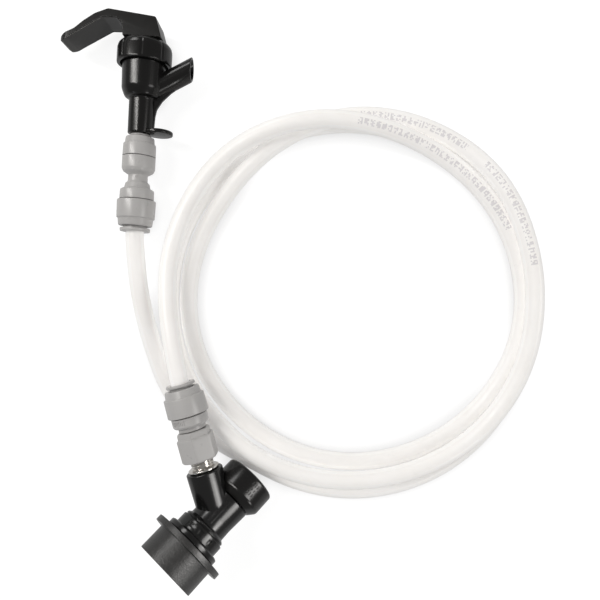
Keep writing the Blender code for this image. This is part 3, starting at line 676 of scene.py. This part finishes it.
push_in(
    "reducer_small", TAP, "reducer", "small_release",
    mouth=SMALL_MOUTH, inward=-1, tube_r=SMALL_TUBE_R,
    steps=[(6.25, 0, 0.35), (6.53, 2.75, 0.12), (7.12, 3.0, 0.45), (7.27, 8.5, 0.14)],
    gland_end=8.5, flange_r=4.65, flange_t=0.75, travel=0.55,
)
push_in(
    "reducer_large", TAP, "reducer", "large_release",
    mouth=LARGE_MOUTH, inward=1, tube_r=LINE_R,
    steps=[(7.4, 0, 0.7), (7.77, 3.3, 0.12), (8.35, 3.5, 0.5), (8.51, 11.5, 0.4)],
    gland_end=11.6, flange_r=6.66, flange_t=1.55, travel=0.9,
)
REDUCER_OUTER = [
    (6.1, -29.3), (7.53, -29.3, 0.1), (7.42, -25.1, 0.7), (6.35, -24.5, 0.2), (5.75, -24.3, 0.5),
    (5.35, -22.3, 0.6), (4.35, -21.3, 0.35), (4.26, -18.4, 0.5), (6.6, -17.0, 0.9),
    (7.27, -15.6, 0.9), (7.27, -10.4, 0.14), (5.275, -10.4),
]
small_inside = socket_inside(SMALL_MOUTH, -1, SMALL_TUBE_R)
large_inside = socket_inside(LARGE_MOUTH, 1, LINE_R)
reducer = lathe_bm(small_inside + large_inside[::-1] + REDUCER_OUTER, 112, 5)
piece(to_object("reducer_body_turned", reducer, TAP), "reducer", "reducer_body", GREY)

push_in(
    "adapter", ARM, "line", "adapter_release",
    mouth=ADAPTER_MOUTH, inward=-1, tube_r=LINE_R,
    steps=[(7.45, 0, 0.45), (7.88, 3.15, 0.12), (8.78, 3.35, 0.4), (9.03, 11.5, 0.45)],
    gland_end=11.7, flange_r=6.4, flange_t=1.2, travel=1.0,
)
ADAPTER_OUTER = [
    (BORE_R, 32.3), (3.0, 32.3, 0.2), (4.5, 33.6, 0.2), (5.2, 33.9, 0.2), (5.2, 35.5, 0.2),
    (4.4, 35.7), (4.4, 39.1), (6.05, 39.1, 0.2), (5.95, 40.85, 0.3), (7.35, 41.1, 0.5),
    (7.9, 41.9, 0.5), (7.9, 45.4, 0.12), (6.1, 45.4),
]
ADAPTER_BARS_H = 43.6


def adapter_bars():
    """Nine fine bars cut in the band, every third one taller.
    They run from world up towards -X, whichever way the arm points along Y."""
    arm_axis = ARM.to_3x3() @ Vector((0, 0, 1))
    side = -1 if arm_axis.y > 0 else 1
    bars = []
    for k in range(9):
        half = (1.5 if k % 3 else 2.1) / 2
        heights = (ADAPTER_BARS_H - half, ADAPTER_BARS_H + half)
        bars.append(radial_block(0.16, heights, (7.74, 9.5), up_angle(ARM) + side * (8 + 6.2 * k)))
    return bars


adapter = lathe_bm(socket_inside(ADAPTER_MOUTH, -1, LINE_R) + ADAPTER_OUTER, 112, 5)
adapter = combine("adapter_body_turned", ARM, adapter, cut=adapter_bars())
piece(adapter, "line", "adapter_body", GREY)

# --------------------------------------------------------------------------
# Hexagon nut: rounded corners, chamfered foot, narrower step above
# columns: radius to the flats, radius that trims the corners, height
NUT_OUTER = [
    (6.75, 7.1, 25.5), (7.05, 7.6, 25.65), (7.28, 8.1, 26.05), (7.3, 8.42, 26.6),
    (7.3, 8.44, 30.8), (7.3, 8.44, 35.0), (7.29, 8.38, 35.7), (7.2, 8.15, 35.95),
    (6.95, 7.7, 36.1), (6.66, 7.62, 36.2), (6.6, 7.62, 36.5), (6.6, 7.6, 38.0),
    (6.5, 7.3, 38.55), (6.2, 6.8, 38.8),
]
NUT_INNER = [(4.75, 38.8), (4.75, 36.3), (5.65, 35.9), (5.65, 26.3), (5.9, 25.5)]
NUT_SOFTNESS = 0.07  # how widely flat and trimming circle blend, in mm


def hexagon_radius(angle, flat, limit):
    """A smooth minimum of the hexagon's radius and the circle that trims its corners."""
    off = abs((math.degrees(angle) % 60) - 30)
    radius = flat / math.cos(math.radians(off))
    blend = math.exp(-radius / NUT_SOFTNESS) + math.exp(-limit / NUT_SOFTNESS)
    return -NUT_SOFTNESS * math.log(blend)


turns = around(168)
nut_rings = [
    [polar(hexagon_radius(a, flat, limit), a, z) for a in turns] for flat, limit, z in NUT_OUTER
]
nut_rings += [[polar(radius, a, z) for a in turns] for radius, z in NUT_INNER]
nut = to_object("swivel_nut_moulding", loft_bm(nut_rings, True), ARM)
piece(nut, "nut", "swivel_nut", GREY, 22)

# Flare insert: plain neck, stop ring and a thread of six ridges
FLARE_NECK = [
    (BORE_R, 16.8), (4.2, 16.8), (4.2, 20.3), (4.0, 20.6), (4.0, 20.8), (6.2, 20.8, 0.3),
    (6.72, 21.1, 0.25), (6.72, 21.7, 0.25), (6.1, 22.05, 0.3), (4.35, 22.1, 0.3),
]
FLARE_TIP = [(5.0, 29.0), (5.0, 29.4, 0.2), (3.4, 30.8, 0.2), (BORE_R, 30.8)]
THREAD_START, THREAD_PITCH = 22.4, 1.1
THREAD_RIDGE = [(4.55, 0), (5.02, 0.35), (5.02, 0.55), (4.55, 0.9)]

thread = [
    (radius, THREAD_START + THREAD_PITCH * k + rise) for k in range(6) for radius, rise in THREAD_RIDGE
]
flare = to_object("flare_insert_turned", lathe_bm(FLARE_NECK + thread + FLARE_TIP), ARM)
piece(flare, "disconnect", "flare_insert", STEEL_ARM, 25)

# --------------------------------------------------------------------------
# Disconnect
UP_AT = up_angle(DISC)
DISC_OUTER = [
    (0, 0.8), (11.1, 0.8, 0.3), (11.2, 14.6, 0.1), (12.95, 14.6, 0.25), (12.95, 16.7, 0.35),
    (12.2, 17.2, 0.3), (10.75, 17.4, 0.25), (10.8, 18.0, 0.2), (10.8, 21.9, 0.35),
    (10.0, 22.3, 0.15), (9.95, 22.7, 0.1), (10.35, 22.8, 0.2), (9.9, 23.5, 0.4),
    (8.9, 24.3, 0.5), (8.8, 29.0, 4.0), (9.35, 38.5, 0.3), (9.1, 38.9, 0.2),
    (6.8, 38.9, 0.1), (6.8, 49.0), (0, 49.0),
]
# along the arm from its root, a little wider at its end
ARM_SHAPE = [
    (0, 0.6), (7.7, 0.6, 2.6), (7.74, 6.0), (8.02, 20.5, 0.55), (4.5, 20.5, 0.15),
    (4.5, 16.5), (BORE_R, 16.5), (BORE_R, 6.5), (0, 6.5),
]
CAP_ROOM = [(0, 38.9), (9.95, 38.9), (12.6, 42.1), (12.6, 60), (0, 60)]
DISC_CAVITY = [
    (0, 0), (9.6, 0), (9.6, 13.6), (BORE_R, 13.6), (BORE_R, 17.0), (4.6, 17.0), (4.6, 50), (0, 50),
]
RIB_TURN = -9  # degrees from up to the rib
# columns: degrees from up, half width
NOTCHES = [(-32, 1.9), (-6, 1.1), (22, 0.9)]


def arm_shape_bm():
    bm = lathe_bm(ARM_SHAPE, 96, 5)
    z = (arm_point(1) - arm_point(0)).normalized()
    x = Vector((arm_cos, 0, -arm_sin))
    bm.transform(columns(x, z.cross(x), z, arm_point(0)))
    return bm


def disc_cuts():
    cuts = [lathe_bm(CAP_ROOM, rounded=False)]
    # two grooves leave a flat raised rib down the shaft's upper side
    for side in (-1, 1):
        angle = UP_AT + RIB_TURN + 6 * side
        cuts.append(radial_block(0.24, (25.4, 37.0), (8.45, 10.6), angle, 0.1))
    # shallow rectangular recesses in the ring below the shaft
    for turn, half_width in NOTCHES:
        cuts.append(radial_block(half_width, (18.6, 20.7), (9.9, 13.0), UP_AT + turn, 0.12))
    cuts.append(lathe_bm(DISC_CAVITY, rounded=False))
    cuts.append(rod_bm(arm_point(1.9), arm_point(7.4), 1.9, 32))
    # three round holes through the skirt
    for k in range(3):
        out = Vector(polar(1, math.radians(30 + 120 * k), 0))
        height = Vector((0, 0, 6.9))
        cuts.append(rod_bm(out * 8.2 + height, out * 12.5 + height, 1.85, 32))
    return cuts


disc = combine(
    "disconnect_body_moulding", DISC, lathe_bm(DISC_OUTER, 128, 6),
    unite=[arm_shape_bm()], cut=disc_cuts(),
)
piece(disc, "disconnect", "disconnect_body", BLACK_WET, 30)

CAP = [
    (9.75, 39.25, 0.2), (10.9, 40.6, 0.5), (11.95, 41.9, 0.6), (12.2, 42.7, 0.5),
    (12.2, 52.0, 1.3), (0, 52.0), (0, 42.0), (4.2, 42.0), (4.2, 50.4), (7.1, 50.4), (7.1, 39.25),
]
# rows of plain bars cut in the cap: low, high, degrees from the group's middle
CAP_BARS = [(44.1, 45.5, (-3, 3, 9)), (46.3, 47.3, (0, 7)), (48.2, 49.8, (-4, 2, 8))]
CAP_BARS_TURN = 8  # degrees from up
cap_bars = [
    radial_block(0.17, (low, high), (12.02, 13.5), UP_AT + CAP_BARS_TURN + turn)
    for low, high, row in CAP_BARS for turn in row
]
cap = combine("disconnect_cap_moulding", DISC, lathe_bm(CAP, 128, 7), cut=cap_bars)
piece(cap, "disconnect", "disconnect_cap", BLACK)

COLLAR = [
    (12.9, 0, 0.15), (14.1, 0, 0.22), (14.1, 11.6, 0.15), (17.6, 11.6, 0.18), (17.6, 14.2, 0.18),
    (13.3, 14.2, 0.15), (13.3, 8.8), (11.8, 8.8), (11.8, 6.5), (12.75, 4.1), (12.9, 3.7),
]
collar = to_object("release_collar_moulding", lathe_bm(COLLAR, 144, 5), DISC)
piece(collar, "collar", "release_collar", CHARCOAL)

# --------------------------------------------------------------------------
# Line: the coil's centre line, as (degrees about the coil's centre, radius, height)
STATIONS = [
    (170.8, 98.2, 10.9), (180.7, 95.2, 8.2), (188.0, 93.7, 6.2), (195.4, 92.8, 4.7), (202.5, 92.7, 4.0),
    (208.0, 92.2, 4.0), (214.0, 91.2, 4.0), (220.0, 90.0, 4.0), (226.0, 88.3, 4.0), (232.0, 86.5, 4.0),
    (238.0, 85.4, 4.0), (244.0, 85.3, 4.0), (255.0, 85.7, 4.0), (270.0, 86.1, 4.0), (285.0, 86.0, 4.0),
    (300.0, 85.6, 4.0), (318.0, 84.5, 4.0), (340.0, 82.0, 4.0), (360.0, 79.6, 4.0), (390.0, 80.4, 4.0),
    (417.0, 81.2, 4.0), (450.0, 82.6, 4.0), (480.0, 83.6, 4.0), (510.0, 84.2, 4.0), (540.0, 83.4, 4.0),
    (560.0, 83.2, 4.0), (568.0, 83.1, 4.0), (574.0, 82.6, 4.6), (580.0, 82.0, 7.2), (586.0, 81.6, 9.6),
    (592.0, 81.4, 11.1), (598.0, 81.2, 11.6), (604.0, 81.0, 11.4), (615.0, 80.6, 10.8),
    (630.0, 80.1, 10.2), (645.0, 79.9, 10.7), (660.0, 80.0, 12.1), (678.0, 80.0, 14.8),
    (700.0, 79.2, 18.6), (720.0, 78.8, 20.3), (740.0, 80.4, 19.8), (750.0, 82.2, 18.6),
    (760.0, 84.0, 16.7), (770.0, 85.2, 14.2), (780.0, 85.5, 12.5), (795.0, 85.0, 12.2),
    (810.0, 83.9, 12.2), (825.0, 81.4, 12.2), (832.0, 80.0, 11.9), (840.0, 78.5, 10.9),
    (848.0, 77.1, 9.2), (855.0, 76.2, 7.4), (863.0, 75.5, 5.4), (872.0, 75.2, 4.2), (900.0, 75.0, 4.0),
    (920.0, 74.3, 4.0), (940.0, 73.4, 4.0), (960.0, 73.0, 4.0), (990.0, 73.1, 4.0), (1010.0, 73.6, 4.2),
    (1038.0, 74.9, 6.6), (1060.0, 76.0, 10.3), (1080.0, 76.8, 12.1), (1105.0, 76.9, 12.1),
    (1137.0, 77.0, 12.6), (1155.0, 77.8, 16.4), (1168.0, 79.2, 19.6), (1180.0, 81.6, 20.4),
    (1190.0, 83.4, 19.8), (1201.0, 85.4, 17.4), (1213.0, 86.8, 13.9), (1235.0, 85.3, 12.7),
    (1248.0, 83.7, 14.4), (1260.0, 81.8, 17.4), (1270.0, 81.0, 20.0),
]
line_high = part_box("beer_line")[1]
# the coil's centre lies this far inside the CAD line's +X and +Y edges
COIL_X = line_high.x / MM - 83.4016
COIL_Y = line_high.y / MM - 87.7875
SAG = 0.0182
IN_SOCKET, STRAIGHT_OUT = 13.7, 3.2  # straight lengths inside and outside each mouth
LINE_SIDES, BORE_SIDES = 32, 16
LINE_STEP = 2.0
END_PIECES = 6  # pieces in each straight end
HELD = 8  # points at each end that the easing leaves alone


def coil_point(degrees, radius, height):
    a = math.radians(degrees)
    return Vector((COIL_X + radius * math.cos(a), COIL_Y + radius * math.sin(a), height - SAG))


def coil_points():
    """The stations joined by smooth curves in pieces of about 3 mm."""
    points = []
    last = len(STATIONS) - 1
    for i in range(last):
        before, here = STATIONS[max(i - 1, 0)], STATIONS[i]
        there, after = STATIONS[i + 1], STATIONS[min(i + 2, last)]
        span = there[0] - here[0]
        pieces = max(2, round(math.radians(span) * here[1] / 3.0))
        for k in range(pieces):
            t = k / pieces
            row = []
            for c in (1, 2):
                slope_in = (there[c] - before[c]) / (there[0] - before[0]) * span
                slope_out = (after[c] - here[c]) / (after[0] - here[0]) * span
                row.append(hermite(here[c], slope_in, there[c], slope_out, t))
            points.append(coil_point(here[0] + span * t, *row))
    points.append(coil_point(*STATIONS[-1]))
    return points


def bridge(start, start_dir, end, end_dir, pieces):
    """The points between start and end, leaving and arriving along the two directions."""
    reach = (end - start).length
    slope_in, slope_out = start_dir.normalized() * reach, end_dir.normalized() * reach
    return [hermite(start, slope_in, end, slope_out, k / pieces) for k in range(1, pieces)]


def even_curve(points, step):
    """Points along a smooth curve through these, about step apart."""
    fine = []
    count = len(points)
    for i in range(count - 1):
        p0, p1, p2, p3 = points[max(i - 1, 0)], points[i], points[i + 1], points[min(i + 2, count - 1)]
        gap = (p2 - p1).length
        slope_in = slope_out = p2 - p1
        if i > 0:
            slope_in = (p2 - p0) / max(1e-6, ((p1 - p0).length + gap)) * gap
        if i + 2 < count:
            slope_out = (p3 - p1) / max(1e-6, ((p3 - p2).length + gap)) * gap
        fine += [hermite(p1, slope_in, p2, slope_out, k / 6) for k in range(6)]
    fine.append(points[-1])
    total = sum((q - p).length for p, q in zip(fine, fine[1:]))
    count = max(2, round(total / step))
    made, walked, i = [fine[0]], 0.0, 0
    for k in range(1, count):
        goal = total * k / count
        while walked + (fine[i + 1] - fine[i]).length < goal:
            walked += (fine[i + 1] - fine[i]).length
            i += 1
        chord = fine[i + 1] - fine[i]
        made.append(fine[i] + chord * ((goal - walked) / chord.length))
    made.append(fine[-1])
    return made


def line_path():
    coil = coil_points()
    tap_mm, arm_mm = tap_origin / MM, arm_root / MM
    tap_end = tap_mm + tap_dir * (LARGE_MOUTH + IN_SOCKET)
    tap_out = tap_mm + tap_dir * (LARGE_MOUTH - STRAIGHT_OUT)
    arm_out = arm_mm + arm_dir * (ADAPTER_MOUTH + STRAIGHT_OUT)
    arm_end = arm_mm + arm_dir * (ADAPTER_MOUTH - IN_SOCKET)
    middle = [tap_out] + bridge(tap_out, -tap_dir, coil[0], coil[1] - coil[0], 7) + coil
    middle += bridge(coil[-1], coil[-1] - coil[-2], arm_out, -arm_dir, 8) + [arm_out]
    shares = [k / END_PIECES for k in range(1, END_PIECES)]
    path = [tap_end] + [tap_end.lerp(tap_out, share) for share in shares]
    path += even_curve(middle, LINE_STEP)
    path += [arm_out.lerp(arm_end, share) for share in shares] + [arm_end]
    # ease small kinks between the stations
    for _ in range(10):
        eased = [
            path[i] * 0.5 + (path[i - 1] + path[i + 1]) * 0.25
            for i in range(HELD, len(path) - HELD)
        ]
        path = path[:HELD] + eased + path[-HELD:]
    return path


def line_object():
    """The tube with its bore; UV x runs round it and y along it, in units of 100 mm."""
    path = line_path()
    bm = bmesh.new()
    uv = bm.loops.layers.uv.new("line")
    outer, inner, along = [], [], []
    side = None
    walked = 0.0
    for i, p in enumerate(path):
        ahead = (path[min(i + 1, len(path) - 1)] - path[max(i - 1, 0)]).normalized()
        level = ahead.cross(Vector((0, 0, 1)))
        if side is None:
            side = level.normalized()
        side = (side - side.dot(ahead) * ahead).normalized()
        # keep side level, so that the print stays on the same flank
        if level.length > 0.2:
            side = level.normalized()
        up = side.cross(ahead).normalized()
        if i:
            walked += (p - path[i - 1]).length
        along.append(walked)
        for rows, radius, sides in ((outer, LINE_R, LINE_SIDES), (inner, LINE_BORE_R, BORE_SIDES)):
            rows.append([bm.verts.new(q) for q in circle_about(p, radius, side, up, sides)])

    def skin(rows, sides, flip):
        for i in range(len(rows) - 1):
            start, end = along[i], along[i + 1]
            for k in range(sides):
                j = (k + 1) % sides
                left, right = k / sides, (k + 1) / sides
                quad = (rows[i][k], rows[i][j], rows[i + 1][j], rows[i + 1][k])
                uvs = ((left, start), (right, start), (right, end), (left, end))
                if flip:
                    quad, uvs = quad[::-1], uvs[::-1]
                for loop, (u, v) in zip(bm.faces.new(quad).loops, uvs):
                    loop[uv].uv = (u, v / 100.0)

    skin(outer, LINE_SIDES, False)
    skin(inner, BORE_SIDES, True)
    # the cut ends: a flat ring between the outer wall and the bore
    for wall, bore, flip in ((outer[0], inner[0], True), (outer[-1], inner[-1], False)):
        for k in range(BORE_SIDES):
            face = (
                wall[2 * k], wall[2 * k + 1], wall[(2 * k + 2) % LINE_SIDES],
                bore[(k + 1) % BORE_SIDES], bore[k],
            )
            bm.faces.new(face if flip else face[::-1])
    face_outwards(bm)
    bm.transform(Matrix.Scale(MM, 4))
    return link_object("line_tube", bm)


PRINT_AT, PRINT_HALF = 0.27, 0.058  # the print's middle and half width, as shares of a turn
PRINTED = ((476.0, 494.0), (850.0, 962.0), (1346.0, 1442.0))  # mm along the line
# painted shading: brightness by how far the wall turns from the eye, with painted grey shade at the rims
WALL_SHADE_STOPS = [
    (0.0, (0.80, 0.79, 0.78)), (0.18, (0.79, 0.78, 0.77)), (0.26, (0.83, 0.822, 0.812)),
    (0.55, (0.82, 0.812, 0.803)), (0.80, (0.77, 0.763, 0.756)), (0.93, (0.58, 0.577, 0.572)),
    (1.0, (0.30, 0.298, 0.296)),
]


def print_mask(graph):
    """Small blocks in uneven groups across a narrow band, with no letters in them."""
    calc = graph.calc
    uv = graph.add("ShaderNodeUVMap", {}, uv_map="line").outputs["UV"]
    split = graph.add("ShaderNodeSeparateXYZ", {"Vector": uv})
    turn, run = split.outputs["X"], split.outputs["Y"]

    def chance(x, y, z):
        cell = graph.join(X=x, Y=y, Z=z)
        noise = graph.add("ShaderNodeTexWhiteNoise", {"Vector": cell}, noise_dimensions="3D")
        return noise.outputs["Value"]

    off = calc("ABSOLUTE", calc("SUBTRACT", turn, PRINT_AT))
    band = calc("LESS_THAN", off, PRINT_HALF)
    column = calc("FLOOR", calc("MULTIPLY", run, 150.0))
    row = calc("FLOOR", calc("MULTIPLY", turn, 43.0))
    group = calc("FLOOR", calc("MULTIPLY", run, 9.0))
    block = calc("LESS_THAN", chance(column, row, 3.0), 0.62)
    spaced = calc("LESS_THAN", calc("FRACT", calc("MULTIPLY", column, 0.25)), 0.7)
    groups = calc("LESS_THAN", chance(group, 0.0, 8.0), 0.80)
    where = None
    for low, high in PRINTED:
        past = calc("GREATER_THAN", run, low / 100.0)
        inside = calc("MULTIPLY", past, calc("LESS_THAN", run, high / 100.0))
        where = inside if where is None else calc("ADD", where, inside)
    blocks = calc("MULTIPLY", band, block)
    marks = calc("MULTIPLY", blocks, calc("MULTIPLY", spaced, groups))
    return calc("MULTIPLY", marks, where)


def milky_line():
    """Milky tube: pale wall with painted shading by viewing angle and painted grey rims, a painted glow of its
    own, faint clouding and a broken print.
    """
    mat, graph, shader = new_material("milky_line_painted_glow_and_rim_shade")
    facing = graph.add("ShaderNodeLayerWeight", {"Blend": 0.5}).outputs["Facing"]
    coords = graph.coords()
    cloud = graph.noise(coords, scale=60.0, detail=3.0, rough=0.55)
    tint = graph.ramp(cloud, [(0.3, (0.97, 0.965, 0.955)), (0.7, (1.0, 1.0, 1.0))])
    # painted shade by viewing angle, times the clouding tint
    wall = graph.mix(graph.ramp(facing, WALL_SHADE_STOPS), tint, blend="MULTIPLY")
    ink = graph.calc("MULTIPLY", print_mask(graph), 0.42)
    colour = graph.mix(wall, (0.36, 0.34, 0.38, 1), factor=ink)
    gloss = graph.noise(coords, scale=320.0, detail=4.0, rough=0.6)
    ripple = graph.noise(coords, scale=900.0, detail=2.0, rough=0.5)
    graph.fill(shader, {
        "Base Color": colour,
        # painted glow: the tube gives off light in its own colour, a painted brightening
        "Emission Color": colour,
        "Emission Strength": 0.25,
        "Roughness": graph.remap(gloss, source=(0.25, 0.75), target=(0.26, 0.38)),
        "Subsurface Weight": 0.35,
        "Subsurface Radius": (1.0, 0.98, 0.94),
        "Subsurface Scale": 0.0016,
        "Specular IOR Level": 0.35,
        "Normal": graph.bump(ripple, strength=0.03, distance=0.0002),
    })
    return mat


piece(line_object(), "line", "beer_line", milky_line(), 50)

# --------------------------------------------------------------------------
# The small pieces inside keep their CAD shape, with their own finishes
FINISHES = {"black_rubber": SEAL, "soft_washer": SILICONE, "grey": GREY}


def finish_for(name, slot):
    if slot != "stainless":
        return FINISHES.get(slot, BLACK_SOFT)
    if name.startswith(("poppet", "lock", "collar")):
        return STEEL_DISC
    return STEEL_TAP if name.startswith(("tap", "reducer")) else STEEL_ARM


for name, node in frame["nodes"].items():
    if node.hide_render:
        continue
    subparts = frame["record"]["subparts"]
    slot = next((part["material_slot"] for part in subparts if part["node"] == name), "")
    node.data.materials.clear()
    node.data.materials.append(finish_for(name, slot))


# --------------------------------------------------------------------------
# Floor, light and camera
def floor_material():
    """Pale floor that glows evenly, with a painted contact shadow that dims its glow a little close under a part.
    """
    mat, graph, shader = new_material("pale_floor_painted_contact_shadow")
    # painted contact shadow: ambient occlusion dims the floor's glow near the parts
    contact = graph.add("ShaderNodeAmbientOcclusion", {"Distance": 0.007}, samples=12)
    shade = graph.remap(contact.outputs["AO"], source=(0.35, 0.95), target=(0.62, 0.88))
    graph.fill(shader, {
        "Base Color": (0.24, 0.24, 0.24, 1),
        "Roughness": 0.85,
        "Specular IOR Level": 0.1,
        "Emission Color": (1, 1, 1, 1),
        # other rays than the camera's see a dimmer, even glow
        "Emission Strength": graph.mix(0.42, shade, factor=graph.camera_ray(), kind="FLOAT"),
    })
    return mat


floor_mat = floor_material()
floor_bm = bmesh.new()
bmesh.ops.create_grid(floor_bm, x_segments=8, y_segments=8, size=1.6)
floor = link_object("floor", floor_bm)
floor.location.z = cad_box[0][2] - 0.0002
floor.data.materials.append(floor_mat)

world = bpy.data.worlds.new("studio")
bpy.context.scene.world = world
world.use_nodes = True
sky = Graph(world.node_tree)
sky.fill(world.node_tree.nodes["Background"], {
    "Color": (1.0, 0.99, 0.975, 1),
    # brighter to the camera than as a light
    "Strength": sky.remap(sky.camera_ray(), source=(0.0, 1.0), target=(0.30, 1.06)),
})

LIGHT_TARGET = Vector((0, 0, 0.01))
SHAFT_PIECES = ("disconnect_body_moulding", "disconnect_cap_moulding", "release_collar_moulding")
# columns: name, direction from the target, distance, (width, height) in metres, watts, colour,
# and the only pieces lit, or none for all
LIGHTS = [
    ("key_left", (-0.60, 0.28, 0.75), 1.3, (0.075, 0.9), 8.0, (1.0, 0.98, 0.95), ()),
    ("key_right", (0.82, -0.08, 0.56), 1.3, (0.46, 0.50), 3.6, (1.0, 0.98, 0.96), ()),
    ("top_left", (-0.45, 0.76, 0.46), 1.4, (0.45, 0.35), 3.6, (1.0, 0.99, 0.98), ()),
    ("rim_low", (-0.62, -0.62, 0.30), 1.3, (0.05, 0.45), 0.6, (0.82, 0.88, 1.0), ()),
    ("edge_low", (0.47, -0.74, 0.52), 1.3, (0.26, 0.30), 2.0, (1.0, 0.99, 0.97), ()),
    ("soft_right", (0.68, -0.20, 0.70), 1.3, (0.52, 0.60), 7.5, (1.0, 0.98, 0.96), SHAFT_PIECES),
    ("paddle_line", (0.46, -0.80, 0.42), 1.3, (0.20, 0.30), 15.0, (1.0, 0.97, 0.92),
     ("tap_lever_moulding",)),
]
for name, direction, distance, size, watts, colour, receivers in LIGHTS:
    light = bpy.data.lights.new(name, "AREA")
    light.shape = "RECTANGLE"
    light.size, light.size_y = size
    light.energy = watts
    light.color = colour
    lamp = bpy.data.objects.new(name, light)
    towards = Vector(direction).normalized()
    lamp.location = LIGHT_TARGET + towards * distance
    lamp.rotation_euler = towards.to_track_quat("Z", "Y").to_matrix().to_euler()
    bpy.context.scene.collection.objects.link(lamp)
    if receivers:
        group = bpy.data.collections.new(name + "_card")
        for receiver in receivers:
            group.objects.link(bpy.data.objects[receiver])
        lamp.light_linking.receiver_collection = group

# left unrotated, the camera looks straight down
camera_data = bpy.data.cameras.new("camera")
camera_data.lens = 37.2
camera_data.sensor_width = 36.0
camera_data.clip_start = 0.01
camera_data.clip_end = 10
camera = bpy.data.objects.new("camera", camera_data)
camera.location = (-0.0013124, -0.0017155, 0.2899818)
bpy.context.scene.collection.objects.link(camera)
bpy.context.scene.camera = camera
bpy.context.scene.view_settings.view_transform = "Standard"
